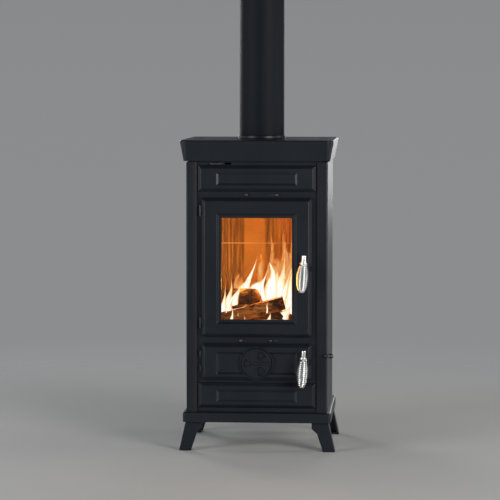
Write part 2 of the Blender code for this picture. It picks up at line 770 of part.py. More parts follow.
def make_front_frame():
    """The cast front: a plate with both door openings, the air slots and the fixed hinge lugs."""
    frame = box("front_frame", (-FRAME_HALF, FRAME_FRONT, BODY_Z), (FRAME_HALF, FRAME_BACK, TOP_INSIDE - GAP),
                CAST_PAINT, STOVE)
    for name, low, high in (("fire", FIRE_DOOR_Z, FIRE_DOOR_TOP), ("ash", ASH_DOOR_Z, ASH_DOOR_TOP)):
        cut(frame, tool(f"{name}_opening_tool", skin(f"{name}_opening_tool", opening_rings(low, high))))
    lever = ((LEVER_X - LEVER_WIDTH / 2 - GAP, FRAME_FRONT - CUT_OVER, LEVER_Z - LEVER_THICKNESS / 2 - GAP),
             (LEVER_X + LEVER_WIDTH / 2 + LEVER_TRAVEL + GAP, FRAME_BACK + CUT_OVER,
              LEVER_Z + LEVER_THICKNESS / 2 + GAP))
    slots = slot_boxes(UPPER_STUDS, UPPER_STUD_Z, -1) + slot_boxes(LOWER_STUDS, LOWER_STUD_Z, 1) + [lever]
    cut(frame, tool("air_slot_tool", boxes_mesh("air_slot_tool", slots)))
    for name, low, length in hinge_places():
        lug = (length - GAP) / 2
        unite(frame, tool(f"{name}_web", boxes_mesh(f"{name}_web", [(
            (HINGE_X - HINGE_LUG_HALF, HINGE_Y, low),
            (HINGE_X + HINGE_LUG_HALF, FRAME_FRONT + JOIN_OVER, low + lug),
        )])))
        unite(frame, tool(f"{name}_lug", cylinder_mesh(f"{name}_lug", KNUCKLE_RADIUS, lug, 16),
                          (HINGE_X, HINGE_Y, low)))
        bore = cylinder_mesh(f"{name}_lug_bore", PIN_RADIUS + GAP, lug + 2 * JOIN_OVER, 12)
        cut(frame, tool(f"{name}_lug_bore", bore, (HINGE_X, HINGE_Y, low - JOIN_OVER)))
    return frame


def make_hinge_pins():
    for name, low, length in hinge_places():
        profile = [
            (0.0, length + GAP + PIN_HEAD_HEIGHT), (PIN_HEAD_RADIUS, length + GAP + PIN_HEAD_HEIGHT),
            (PIN_HEAD_RADIUS, length + GAP), (PIN_RADIUS, length + GAP), (PIN_RADIUS, 0.0), (0.0, 0.0),
        ]
        turned(f"{name}_pin", profile, STEEL, STOVE, (HINGE_X, HINGE_Y, low), steps=12)


def make_trim_panel(name, low, height):
    """A cast trim panel: a raised chamfered edge round a sunk rectangle."""
    high = low + height
    front = -TRIM_PROUD
    recess_low, recess_high = low + TRIM_RECESS_BOTTOM, high - TRIM_RECESS_TOP
    recess_half = TRIM_HALF - TRIM_RECESS_SIDE
    rings = [
        front_ring(TRIM_HALF, low, high, SHARP_CORNER, DOOR_BACK),
        front_ring(TRIM_HALF, low, high, SHARP_CORNER, front + TRIM_CHAMFER_DEPTH),
        front_ring(TRIM_HALF, low, high, SHARP_CORNER, front, TRIM_CHAMFER),
        front_ring(recess_half, recess_low, recess_high, SHARP_CORNER, front),
        front_ring(recess_half, recess_low, recess_high, SHARP_CORNER, front + TRIM_RECESS_DEPTH,
                   TRIM_RECESS_BEVEL),
    ]
    return add(name, skin(name, rings), CAST_PAINT, STOVE)


def make_top_plate():
    """The cast top: a flared apron under a flat plate with a flue hole and a row of vents at each side."""
    half = POST_OUTER + TOP_OVERHANG - TOP_FLARE
    front, back = -TOP_FRONT, TOP_BACK
    radius = TOP_CORNER_RADIUS
    shoulder = STOVE_TOP - TOP_EDGE
    soft = TOP_EDGE * TOP_EDGE_SHARE

    def outline(z, inset=0.0):
        flare = TOP_FLARE * min(1.0, (z - TOP_PLATE_Z) / (shoulder - TOP_PLATE_Z))
        return level_ring(half, front, back, radius, z, flare - inset)

    rings = [outline(TOP_INSIDE, TOP_WALL), outline(TOP_PLATE_Z, TOP_WALL), outline(TOP_PLATE_Z),
             outline(shoulder), outline(STOVE_TOP - soft, soft), outline(STOVE_TOP, TOP_EDGE)]
    plate = add("top_plate", skin("top_plate", rings), CAST_PAINT, STOVE)
    hole = cylinder_mesh("flue_hole_tool", COLLAR_OUTER + CUT_OVER, 3 * TOP_WALL, 32)
    cut(plate, tool("flue_hole_tool", hole,
                    (0.0, FLUE_CENTRE_Y, TOP_INSIDE - TOP_WALL)))
    slots = []
    first = FLUE_CENTRE_Y - (VENT_SLOTS - 1) * VENT_PITCH / 2
    for side in (-1, 1):
        x = side * (POST_OUTER + TOP_OVERHANG - VENT_INSET)
        for i in range(VENT_SLOTS):
            y = first + i * VENT_PITCH
            slots.append(((x - VENT_LENGTH / 2, y - VENT_WIDTH / 2, TOP_INSIDE - TOP_WALL),
                          (x + VENT_LENGTH / 2, y + VENT_WIDTH / 2, STOVE_TOP + TOP_WALL)))
    cut(plate, tool("vent_tool", boxes_mesh("vent_tool", slots)))
    return plate


def make_flue():
    """A cast collar that drops through the top plate into the firebox, and the pipe that stands on its rim."""
    inner = COLLAR_OUTER - COLLAR_WALL
    rim = STOVE_TOP + GAP
    low = FIREBOX_TOP - FIREBOX_WALL
    profile = [
        (inner, rim + COLLAR_RIM_HEIGHT + COLLAR_SPIGOT),
        (COLLAR_OUTER, rim + COLLAR_RIM_HEIGHT + COLLAR_SPIGOT),
        (COLLAR_OUTER, rim + COLLAR_RIM_HEIGHT), (COLLAR_RIM_RADIUS, rim + COLLAR_RIM_HEIGHT),
        (COLLAR_RIM_RADIUS, rim), (COLLAR_OUTER, rim), (COLLAR_OUTER, low), (inner, low),
    ]
    turned("flue_collar", profile, CAST_PAINT, STOVE, (0.0, FLUE_CENTRE_Y, 0.0), steps=32, ring=True)
    wall = FLUE_RADIUS - FLUE_WALL
    profile = [(wall, FLUE_LENGTH), (FLUE_RADIUS, FLUE_LENGTH), (FLUE_RADIUS, 0.0), (wall, 0.0)]
    turned("flue_pipe", profile, PIPE_ENAMEL, STOVE, (0.0, FLUE_CENTRE_Y, PIPE_Z), steps=32, ring=True)


# Firebox and linings

def make_firebox():
    """A welded steel shell, open at the front, with a flue hole in its top and a slot for the riddling rod."""
    low = FIREBOX_FLOOR - FIREBOX_WALL
    shell = box("firebox_shell", (-FIREBOX_HALF_WIDTH, FIREBOX_FRONT, low),
                (FIREBOX_HALF_WIDTH, FIREBOX_REAR, FIREBOX_TOP), RAW_IRON, STOVE)
    cut(shell, box_tool("firebox_inside", (-FIREBOX_INNER, FIREBOX_FRONT - CUT_OVER, FIREBOX_FLOOR),
                        (FIREBOX_INNER, FIREBOX_REAR - FIREBOX_WALL, FIREBOX_TOP - FIREBOX_WALL)))
    cut(shell, tool("outlet_tool", cylinder_mesh("outlet_tool", COLLAR_OUTER + GAP, 4 * FIREBOX_WALL, 32),
                    (0.0, FLUE_CENTRE_Y, FIREBOX_TOP - 2 * FIREBOX_WALL)))
    reach = RIDDLE_ROD_RADIUS + RIDDLE_SLOT_SPACE
    cut(shell, box_tool(
        "riddle_slot_tool",
        (FIREBOX_INNER - CUT_OVER, GRATE_CENTRE_Y - RIDDLE_TRAVEL - reach, RIDDLE_CROSS_Z - reach),
        (FIREBOX_HALF_WIDTH + CUT_OVER, GRATE_CENTRE_Y + reach, RIDDLE_CROSS_Z + reach),
    ))
    return shell


def make_hearth():
    """The cast hearth plate with the grate's opening, and the sliding grate in it."""
    plate = box("hearth_plate", (-LINING_HALF, FIREBOX_FRONT + HEARTH_SETBACK, HEARTH_Z),
                (LINING_HALF, LINING_REAR, HEARTH_TOP), RAW_IRON, STOVE)
    front, back = GRATE_CENTRE_Y - GRATE_DEPTH / 2, GRATE_CENTRE_Y + GRATE_DEPTH / 2
    side = GRATE_HALF_WIDTH + GAP
    cut(plate, box_tool("grate_opening_tool", (-side, front - GAP - RIDDLE_TRAVEL, HEARTH_Z - CUT_OVER),
                        (side, back + GAP, HEARTH_TOP + CUT_OVER)))
    ledge_top = HEARTH_Z + GRATE_LEDGE_HEIGHT
    unite(plate, tool("grate_ledges", boxes_mesh("grate_ledges", [
        ((x - GRATE_LEDGE_HALF, front - RIDDLE_TRAVEL - CUT_OVER, HEARTH_Z),
         (x + GRATE_LEDGE_HALF, back + CUT_OVER, ledge_top))
        for x in (-side, side)
    ])))
    grate = box("shaker_grate", (-GRATE_HALF_WIDTH, front, ledge_top + GAP),
                (GRATE_HALF_WIDTH, back, HEARTH_TOP), RAW_IRON, RIDDLE)
    pitch = 2 * (GRATE_HALF_WIDTH - GRATE_SIDE) / GRATE_SLOTS
    slots = []
    for i in range(GRATE_SLOTS):
        x = -GRATE_HALF_WIDTH + GRATE_SIDE + (i + 0.5) * pitch
        slots.append(((x - GRATE_SLOT_WIDTH / 2, front + GRATE_END, HEARTH_Z - CUT_OVER),
                      (x + GRATE_SLOT_WIDTH / 2, back - GRATE_END, HEARTH_TOP + CUT_OVER)))
    cut(grate, tool("grate_slot_tool", boxes_mesh("grate_slot_tool", slots)))
    lug_x = GRATE_HALF_WIDTH - GRATE_LUG_INSET
    half, depth = GRATE_LUG_HALF_WIDTH, GRATE_LUG_HALF_DEPTH
    unite(grate, box_tool(
        "grate_lug", (lug_x - half, GRATE_CENTRE_Y - depth, RIDDLE_CROSS_Z - RIDDLE_ROD_RADIUS),
        (lug_x + half, GRATE_CENTRE_Y + depth, HEARTH_TOP - JOIN_OVER),
    ))
    return lug_x + half


def ribbed_outline(start, end, face, back, ribs):
    """Plan outline of a lining block along x, with upright grooves in its front face over the given spans."""
    points = [(start, face)]
    for low, high in ribs:
        count = int((high - low) / RIB_PITCH)
        first = (low + high) / 2 - (count - 1) * RIB_PITCH / 2
        for i in range(count):
            x = first + i * RIB_PITCH
            left, right = x - RIB_WIDTH / 2, x + RIB_WIDTH / 2
            points += [(left, face), (left, face + RIB_DEPTH), (right, face + RIB_DEPTH), (right, face)]
    return points + [(end, face), (end, back), (start, back)]


def make_bricks():
    """Lining blocks in two courses, ribbed at the sides and either side of the back's plain strip."""
    back_face = LINING_REAR - BRICK_THICKNESS
    inner = LINING_INNER
    reach = inner - GAP
    spans = ((-reach + RIB_MARGIN, PLAIN_X - PLAIN_HALF_WIDTH - RIB_MARGIN),
             (PLAIN_X + PLAIN_HALF_WIDTH + RIB_MARGIN, reach - RIB_MARGIN))
    back_outline = ribbed_outline(-reach, reach, back_face, LINING_REAR, spans)
    side_spans = ((BRICK_FRONT + RIB_MARGIN, LINING_REAR - RIB_MARGIN),)
    side_plan = ribbed_outline(BRICK_FRONT, LINING_REAR, -inner, -LINING_HALF, side_spans)
    side_plan = [(depth, across if across in (-inner, -LINING_HALF) else -inner - RIB_DEPTH)
                 for depth, across in side_plan]
    for course, low, high in (("lower", BRICK_Z, BRICK_JOINT_Z), ("upper", BRICK_JOINT_Z + GAP, BRICK_TOP)):
        name = f"brick_back_{course}"
        add(name, prism(name, back_outline, low, high), BRICK, STOVE)
        for place, side in (("left", 1), ("right", -1)):
            name = f"brick_{place}_{course}"
            plan = [(side * across, depth) for depth, across in side_plan]
            add(name, prism(name, plan, low, high), BRICK, STOVE)


def make_baffle_and_guard():
    box("baffle_plate", (-LINING_HALF, BAFFLE_FRONT, BRICK_TOP + GAP),
        (LINING_HALF, LINING_REAR, BRICK_TOP + GAP + BAFFLE_THICKNESS), BRICK, STOVE, BAFFLE_EDGE)
    front = FIREBOX_FRONT + GUARD_SETBACK
    box("log_guard", (-GUARD_HALF_WIDTH, front, HEARTH_TOP + GAP),
        (GUARD_HALF_WIDTH, front + GUARD_THICKNESS, HEARTH_TOP + GAP + GUARD_HEIGHT),
        RAW_IRON, STOVE, GUARD_EDGE)


def make_ash_pan():
    """An open steel pan with a bent grip on its front."""
    low = FIREBOX_FLOOR + GAP
    high = low + PAN_HEIGHT
    back = PAN_FRONT + PAN_DEPTH
    pan = box("ash_pan", (-PAN_HALF_WIDTH, PAN_FRONT, low), (PAN_HALF_WIDTH, back, high), STEEL, PAN)
    cut(pan, box_tool("pan_inside", (-PAN_HALF_WIDTH + PAN_WALL, PAN_FRONT + PAN_WALL, low + PAN_WALL),
                      (PAN_HALF_WIDTH - PAN_WALL, back - PAN_WALL, high + CUT_OVER)))
    grip = high - PAN_GRIP_DROP
    unite(pan, box_tool("pan_grip", (-PAN_GRIP_HALF, PAN_FRONT - PAN_GRIP_REACH, grip - PAN_GRIP_THICKNESS),
                        (PAN_GRIP_HALF, PAN_FRONT + PAN_WALL, grip)))
    return pan


# Doors

def door_edge_rings(low, high):
    """The door's outside, from its back edge over the chamfer to its front face."""
    front = -DOOR_PROUD
    return [
        front_ring(DOOR_HALF, low, high, DOOR_CORNER_RADIUS, DOOR_BACK),
        front_ring(DOOR_HALF, low, high, DOOR_CORNER_RADIUS, front + DOOR_CHAMFER_DEPTH),
        front_ring(DOOR_HALF, low, high, DOOR_CORNER_RADIUS, front, DOOR_CHAMFER),
    ]


def groove_rings(low, high):
    """The rope groove in a door's back, from its inner edge to its outer edge."""
    half = ROPE_RADIUS + GAP
    depth = 2 * ROPE_RADIUS + GAP
    return [
        front_ring(DOOR_HALF, low, high, DOOR_CORNER_RADIUS, y, ROPE_INSET + side * half)
        for y, side in ((DOOR_BACK, 1), (DOOR_BACK - depth, 1), (DOOR_BACK - depth, -1), (DOOR_BACK, -1))
    ]


def add_hinge_knuckles(door, hinges):
    """The door's halves of its hinges: a knuckle over the frame's lug, with a web to the door's edge."""
    for name, low, length in hinges:
        lug = (length - GAP) / 2
        start = low + lug + GAP
        unite(door, tool(f"{name}_door_web", boxes_mesh(f"{name}_door_web", [(
            (HINGE_X, HINGE_Y - HINGE_WEB_THICKNESS / 2, start),
            (-DOOR_HALF + JOIN_OVER, HINGE_Y + HINGE_WEB_THICKNESS / 2, start + lug),
        )]), parent=door.parent))
        unite(door, tool(f"{name}_knuckle", cylinder_mesh(f"{name}_knuckle", KNUCKLE_RADIUS, lug, 16),
                         (HINGE_X, HINGE_Y, start), parent=door.parent))
        bore = cylinder_mesh(f"{name}_knuckle_bore", PIN_RADIUS + GAP, lug + 2 * JOIN_OVER, 12)
        cut(door, tool(f"{name}_knuckle_bore", bore, (HINGE_X, HINGE_Y, start - JOIN_OVER), parent=door.parent))


def add_latch_cuts(door, handle_z, notch_z, parent):
    """The latch shaft's hole, and the notch in the door's free edge beside the handle."""
    name = door.name
    bore = cylinder_mesh(f"{name}_shaft_bore", LATCH_SHAFT_RADIUS + SHAFT_GAP, THROUGH, 16)
    cut(door, tool(f"{name}_shaft_bore", bore, (HANDLE_X, THROUGH / 2, handle_z), DOWN_Y, parent=parent))
    cut(door, box_tool(
        f"{name}_notch", (DOOR_HALF - NOTCH_WIDTH, -DOOR_PROUD - CUT_OVER, notch_z),
        (DOOR_HALF + CUT_OVER, -DOOR_PROUD + NOTCH_DEPTH, notch_z + NOTCH_HEIGHT), parent=parent,
    ))


def make_rope(name, low, high, parent):
    """A rope seal lying in the groove of a door's back."""
    y = DOOR_BACK - ROPE_RADIUS
    ring = front_ring(DOOR_HALF, low, high, DOOR_CORNER_RADIUS, 0.0, ROPE_INSET)
    centre = Vector((0.0, y, (low + high) / 2))
    points = [Vector(point) - Vector((0.0, 0.0, centre.z)) for point in ring]
    rod(name, points, ROPE_RADIUS, ROPE, parent, centre, sides=1, cyclic=True)


def make_fire_door():
    """The cast fire door with its sunk window, the glass behind its lip, gasket, retainer and rope."""
    low, high = FIRE_DOOR_Z, FIRE_DOOR_TOP
    half = DOOR_HALF - WINDOW_SIDE_MARGIN
    recess_low, recess_high = low + WINDOW_BOTTOM_MARGIN, high - WINDOW_TOP_MARGIN
    floor = -DOOR_PROUD + RECESS_DEPTH
    seat = floor + WINDOW_LIP_THICKNESS
    pocket_inset = WINDOW_LIP - GLASS_LAP - GLASS_POCKET_SPACE

    def window(y, inset):
        return front_ring(half, recess_low, recess_high, WINDOW_RADIUS, y, inset)

    rings = door_edge_rings(low, high) + [
        window(-DOOR_PROUD, 0.0), window(floor, RECESS_BEVEL), window(floor, WINDOW_LIP),
        window(seat, WINDOW_LIP), window(seat, pocket_inset), window(DOOR_BACK, pocket_inset),
    ] + groove_rings(low, high)
    door = add("fire_door", skin("fire_door", rings, loop=True), CAST_PAINT, FIRE_HINGE)
    add_hinge_knuckles(door, hinge_places()[:2])
    add_latch_cuts(door, FIRE_HANDLE_Z, low + NOTCH_RISE, FIRE_HINGE)

    glass_front = DOOR_BACK - GLASS_THICKNESS
    gasket_front = seat + GAP
    edge = WINDOW_LIP - GLASS_LAP
    outer, inner = edge + GASKET_INSET, edge + GASKET_INSET + GASKET_WIDTH
    add("window_gasket", skin("window_gasket", [
        window(gasket_front, outer), window(gasket_front, inner),
        window(glass_front - GAP, inner), window(glass_front - GAP, outer),
    ], loop=True), ROPE, FIRE_HINGE)
    add("fire_glass", skin("fire_glass", [window(glass_front, edge), window(DOOR_BACK, edge)]),
        GLASS, FIRE_HINGE)
    start = DOOR_BACK + GAP
    add("glass_retainer", skin("glass_retainer", [
        window(start, pocket_inset - RETAINER_LAP), window(start, edge + RETAINER_GLASS_LAP),
        window(start + RETAINER_THICKNESS, edge + RETAINER_GLASS_LAP),
        window(start + RETAINER_THICKNESS, pocket_inset - RETAINER_LAP),
    ], loop=True), STEEL, FIRE_HINGE)
    make_rope("fire_door_rope", low, high, FIRE_HINGE)


def petal_outline(angle):
    """A sector between two radii with rounded outer corners, as (x, z) points round the rosette's middle."""
    points = []
    for radius, shares in ((PETAL_INNER, (-1.0, 0.0, 1.0)), (PETAL_OUTER * PETAL_CORNER, (1.0,)),
                           (PETAL_OUTER, (PETAL_ARC, 0.0, -PETAL_ARC)), (PETAL_OUTER * PETAL_CORNER, (-1.0,))):
        for share in shares:
            a = angle + share * PETAL_HALF_ANGLE
            points.append((radius * math.cos(a), radius * math.sin(a)))
    return points


def petal_tool(name, start_angle, parent):
    """Cutters for one ring of air holes through the rosette or its boss."""
    shape = bmesh.new()
    for i in range(PETALS):
        outline = petal_outline(start_angle + i * 2 * math.pi / PETALS)
        rows = [[shape.verts.new((x, y, z)) for x, z in outline] for y in (-THROUGH / 2, THROUGH / 2)]
        for k in range(len(outline)):
            j = (k + 1) % len(outline)
            shape.faces.new((rows[0][k], rows[0][j], rows[1][j], rows[1][k]))
        shape.faces.new(rows[0])
        shape.faces.new(rows[1])
    return tool(name, mesh_from(name, shape), (0.0, 0.0, ROSETTE_Z), parent=parent)


def make_ash_door():
    """The cast ash door: a sunk panel crossed by the round boss of the air rosette."""
    low, high = ASH_DOOR_Z, ASH_DOOR_TOP
    half = DOOR_HALF - ASH_RECESS_SIDE
    recess_low, recess_high = low + ASH_RECESS_BOTTOM, high - ASH_RECESS_TOP
    floor = -DOOR_PROUD + RECESS_DEPTH
    rings = groove_rings(low, high) + door_edge_rings(low, high) + [
        front_ring(half, recess_low, recess_high, SHARP_CORNER, -DOOR_PROUD),
        front_ring(half, recess_low, recess_high, SHARP_CORNER, floor, RECESS_BEVEL),
    ]
    door = add("ash_door", skin("ash_door", rings), CAST_PAINT, ASH_HINGE)
    boss = cylinder_mesh("rosette_boss", BOSS_RADIUS, BOSS_THICKNESS, 40)
    unite(door, tool("rosette_boss", boss, (0.0, BOSS_FRONT + BOSS_THICKNESS, ROSETTE_Z), DOWN_Y,
                     parent=ASH_HINGE))
    cut(door, petal_tool("boss_petals", 0.0, ASH_HINGE))
    bore = cylinder_mesh("rosette_bore", ROSETTE_BOLT_RADIUS + SHAFT_GAP, THROUGH, 12)
    cut(door, tool("rosette_bore", bore, (0.0, THROUGH / 2, ROSETTE_Z), DOWN_Y, parent=ASH_HINGE))
    add_hinge_knuckles(door, hinge_places()[2:])
    add_latch_cuts(door, ASH_HANDLE_Z, low + ASH_NOTCH_RISE, ASH_HINGE)
    make_rope("ash_door_rope", low, high, ASH_HINGE)


def make_rosette():
    """The turning air disc with its finger lug, and the bolt that holds it to the door."""
    back = BOSS_FRONT - GAP
    front = back - ROSETTE_THICKNESS
    disc = add("air_rosette", cylinder_mesh("air_rosette", ROSETTE_RADIUS, ROSETTE_THICKNESS, 40),
               CAST_PAINT, ROSETTE, (0.0, back, ROSETTE_Z), DOWN_Y)
    unite(disc, box_tool("rosette_lug", (LUG_START, front - LUG_PROUD, ROSETTE_Z - LUG_HEIGHT / 2),
                         (ROSETTE_RADIUS - JOIN_OVER, front + ROSETTE_THICKNESS / 2,
                          ROSETTE_Z + LUG_HEIGHT / 2),
                         parent=ROSETTE))
    cut(disc, petal_tool("disc_petals", math.pi / PETALS, ROSETTE))
    bore = cylinder_mesh("disc_bore", ROSETTE_BOLT_RADIUS + SHAFT_GAP, THROUGH, 12)
    cut(disc, tool("disc_bore", bore, (0.0, THROUGH / 2, ROSETTE_Z), DOWN_Y, parent=ROSETTE))
    head = ROSETTE_HEAD_LENGTH
    length = DOOR_BACK - front + GAP + ROSETTE_BOLT_END
    profile = [
        (0.0, head), (ROSETTE_HEAD_RADIUS * 0.75, head), (ROSETTE_HEAD_RADIUS, head * 0.6),
        (ROSETTE_HEAD_RADIUS, 0.0), (ROSETTE_BOLT_RADIUS, 0.0), (ROSETTE_BOLT_RADIUS, -length), (0.0, -length),
    ]
    turned("rosette_bolt", profile, STEEL, ASH_HINGE, (0.0, front - GAP, ROSETTE_Z), DOWN_Y, steps=16)


# Handles and latches

def coil_points(length):
    """The wire's centre line round a barrel, from the collar down, with straight ends one wire thick."""
    wire = 2 * COIL_WIRE_RADIUS
    top, end = COIL_TOP_RADIUS - COIL_WIRE_RADIUS, COIL_END_RADIUS - COIL_WIRE_RADIUS
    widest = COIL_RADIUS - COIL_WIRE_RADIUS
    count = COIL_TURNS * POINTS_PER_TURN
    share = np.linspace(0.0, 1.0, count + 1)
    rise = np.sin(np.pi / 2 * np.clip(share / COIL_WIDEST, 0.0, 1.0))
    fall = np.clip((share - COIL_WIDEST) / (1.0 - COIL_WIDEST), 0.0, 1.0)
    radius = np.where(share < COIL_WIDEST, top + (widest - top) * rise,
                      end + (widest - end) * np.sqrt(np.maximum(1.0 - fall ** 2, 0.0)))
    angle = share * COIL_TURNS * 2 * math.pi
    z = -wire - share * (length - 2 * wire)
    turns = np.column_stack([radius * np.cos(angle), radius * np.sin(angle), z])
    first, last = turns[0], turns[-1]
    start = np.array([[first[0], first[1], 0.0]])
    finish_point = np.array([[last[0], last[1], -length]])
    return np.concatenate([start, turns, finish_point])


def least_gap(points):
    """The least clear distance between stretches of the wire more than half a turn apart."""
    steps = np.arange(len(points))
    apart = np.linalg.norm(points[:, None] - points[None], axis=2)
    far = np.abs(steps[:, None] - steps[None]) > POINTS_PER_TURN // 2 + 1
    return apart[far].min() - 2 * COIL_WIRE_RADIUS


def make_handle(prefix, z, hinge, turner):
    """A hanging handle: latch shaft and nose, the chrome neck with its core, and the coiled wire grip."""
    tilt = (0.0, HANDLE_TILT, 0.0)
    place = (HANDLE_X, HANDLE_Y, z)
    half = NECK_LENGTH / 2
    collar = -half - COLLAR_LENGTH
    button = collar - GAP - COIL_LENGTH - GAP
    profile = [
        (0.0, half), (NECK_RADIUS * 0.8, half), (NECK_RADIUS, half - NECK_EDGE), (NECK_RADIUS, -half),
        (COLLAR_RADIUS, -half), (COLLAR_RADIUS, collar), (CORE_RADIUS, collar), (CORE_RADIUS, button),
        (BUTTON_RADIUS, button), (BUTTON_RADIUS * 0.8, button - BUTTON_LENGTH * 0.6),
        (BUTTON_RADIUS * 0.4, button - BUTTON_LENGTH), (0.0, button - BUTTON_LENGTH),
    ]
    turned(f"{prefix}_handle_core", profile, CHROME, turner, place, tilt, steps=16)
    points = coil_points(COIL_LENGTH)
    print(f"{prefix}_handle_coil: least gap to itself {least_gap(points) * 1000:.2f} mm")
    points[:, 2] += collar - GAP
    rod(f"{prefix}_handle_coil", points, COIL_WIRE_RADIUS, CHROME, turner, place, tilt, sides=1)

    start = HANDLE_Y + NECK_RADIUS + GAP
    nose_y = FRAME_BACK + GAP + KEEPER_THICKNESS + GAP
    end = nose_y + NOSE_THICKNESS
    name = f"{prefix}_latch_shaft"
    shaft = add(name, cylinder_mesh(name, LATCH_SHAFT_RADIUS, end - start, 16), STEEL, turner,
                (HANDLE_X, end, z), DOWN_Y)
    nose_low, nose_high = (-NOSE_WIDTH / 2, 0.0, -NOSE_LENGTH), (NOSE_WIDTH / 2, NOSE_THICKNESS, 0.0)
    nose = boxes_mesh(f"{prefix}_nose", [(nose_low, nose_high)])
    unite(shaft, tool(f"{prefix}_nose", nose, (HANDLE_X, nose_y, z), (0.0, -NOSE_REST, 0.0), parent=turner))
    low, front = z - NOSE_LENGTH - KEEPER_DROP, FRAME_BACK + GAP
    box(f"{prefix}_keeper", (OPENING_HALF + KEEPER_SIDE_GAP, front, low),
        (FIREBOX_INNER - KEEPER_SIDE_GAP, front + KEEPER_THICKNESS, low + KEEPER_HEIGHT),
        STEEL, STOVE, KEEPER_EDGE)


# Air controls and riddling rod

def make_air_slide(prefix, studs, z, slider):
    """A flat slide behind the front frame with two studs that stand out through the frame's slots."""
    middle = sum(studs) / len(studs)
    box(f"{prefix}_air_slide", (middle - SLIDE_HALF_LENGTH, SLIDE_Y, z - SLIDE_HEIGHT / 2),
        (middle + SLIDE_HALF_LENGTH, SLIDE_Y + SLIDE_THICKNESS, z + SLIDE_HEIGHT / 2), STEEL, slider)
    head = STUD_HEAD_LENGTH
    shank = SLIDE_Y - GAP - (FRAME_FRONT - GAP)
    for place, x in zip(("left", "right"), studs):
        profile = [
            (0.0, head), (STUD_HEAD_RADIUS * 0.6, head), (STUD_HEAD_RADIUS * 0.9, head * 0.8),
            (STUD_HEAD_RADIUS, head * 0.5), (STUD_HEAD_RADIUS * 0.75, 0.0), (STUD_SHANK_RADIUS, 0.0),
            (STUD_SHANK_RADIUS, -shank), (0.0, -shank),
        ]
        turned(f"{prefix}_air_stud_{place}", profile, STEEL, slider, (x, FRAME_FRONT - GAP, z), DOWN_Y,
               steps=14)


def make_secondary_lever():
    """A flat steel lever for the secondary air, which slides in a slot under the top plate."""
    lever = box("secondary_air_lever", (LEVER_X - LEVER_WIDTH / 2, -LEVER_PROUD, LEVER_Z - LEVER_THICKNESS / 2),
                (LEVER_X + LEVER_WIDTH / 2, SLIDE_Y + SLIDE_THICKNESS, LEVER_Z + LEVER_THICKNESS / 2),
                STEEL, LEVER)
    unite(lever, box_tool("lever_slide", (LEVER_X - LEVER_WIDTH, SLIDE_Y, LEVER_Z - SLIDE_HEIGHT / 2),
                          (LEVER_X + LEVER_WIDTH, SLIDE_Y + SLIDE_THICKNESS + LEVER_SEAT,
                           LEVER_Z + SLIDE_HEIGHT / 2),
                          parent=LEVER))


def make_riddling_rod(lug_x):
    """A rod from the right post back beside the firebox and across to the grate, with a knob on its end."""
    front = -RIDDLE_PROUD
    tip = RIDDLE_X + RIDDLE_BENT_LENGTH
    points = bent([
        (lug_x + GAP, GRATE_CENTRE_Y, RIDDLE_CROSS_Z), (RIDDLE_X, GRATE_CENTRE_Y, RIDDLE_CROSS_Z),
        (RIDDLE_X, GRATE_CENTRE_Y - RIDDLE_CRANK, RIDDLE_Z), (RIDDLE_X, front, RIDDLE_Z), (tip, front, RIDDLE_Z),
    ], RIDDLE_BEND)
    rod("riddling_rod", points, RIDDLE_ROD_RADIUS, STEEL, RIDDLE, sides=2)
    radius, length = RIDDLE_KNOB_RADIUS, RIDDLE_KNOB_LENGTH
    profile = [
        (0.0, length), (radius * 0.7, length), (radius, length * 0.75), (radius, length * 0.35),
        (radius * 0.6, 0.0), (0.0, 0.0),
    ]
    turned("riddling_knob", profile, STEEL, RIDDLE, (tip + GAP, front, RIDDLE_Z), (0.0, math.pi / 2, 0.0),
           steps=14)


FIRE_HINGE = pivot("fire_door_hinge", (HINGE_X, HINGE_Y, FIRE_DOOR_Z), STOVE)
ASH_HINGE = pivot("ash_door_hinge", (HINGE_X, HINGE_Y, ASH_DOOR_Z), STOVE)
FIRE_TURN = pivot("fire_handle_turn", (HANDLE_X, HANDLE_Y, FIRE_HANDLE_Z), FIRE_HINGE)
ASH_TURN = pivot("ash_handle_turn", (HANDLE_X, HANDLE_Y, ASH_HANDLE_Z), ASH_HINGE)
ROSETTE = pivot("rosette_turn", (0.0, BOSS_FRONT, ROSETTE_Z), ASH_HINGE)
PAN = pivot("ash_pan_slide", (0.0, PAN_FRONT, FIREBOX_FLOOR), STOVE)
UPPER_AIR = pivot("upper_air_travel", (0.0, SLIDE_Y, UPPER_STUD_Z), STOVE)
LOWER_AIR = pivot("lower_air_travel", (0.0, SLIDE_Y, LOWER_STUD_Z), STOVE)
LEVER = pivot("secondary_air_travel", (LEVER_X, SLIDE_Y, LEVER_Z), STOVE)
RIDDLE = pivot("riddling_travel", (RIDDLE_X, 0.0, RIDDLE_Z), STOVE)


def main():
    make_plinth()
    make_legs()
    make_post("post_left", -1)
    make_post("post_right", 1)
    make_side_panels()
    make_back_cover()
    make_front_frame()
    make_hinge_pins()
    make_trim_panel("lower_trim_panel", LOWER_TRIM_Z, LOWER_TRIM_HEIGHT)
    make_trim_panel("upper_trim_panel", UPPER_TRIM_Z, UPPER_TRIM_HEIGHT)
    make_top_plate()
    make_flue()
    make_firebox()
    lug_x = make_hearth()
    make_bricks()
    make_baffle_and_guard()
    make_ash_pan()
    make_fire_door()
    make_ash_door()
    make_rosette()
    make_handle("fire", FIRE_HANDLE_Z, FIRE_HINGE, FIRE_TURN)
    make_handle("ash", ASH_HANDLE_Z, ASH_HINGE, ASH_TURN)
    make_air_slide("upper", UPPER_STUDS, UPPER_STUD_Z, UPPER_AIR)
    make_air_slide("lower", LOWER_STUDS, LOWER_STUD_Z, LOWER_AIR)
    make_secondary_lever()
    make_riddling_rod(lug_x)


main()
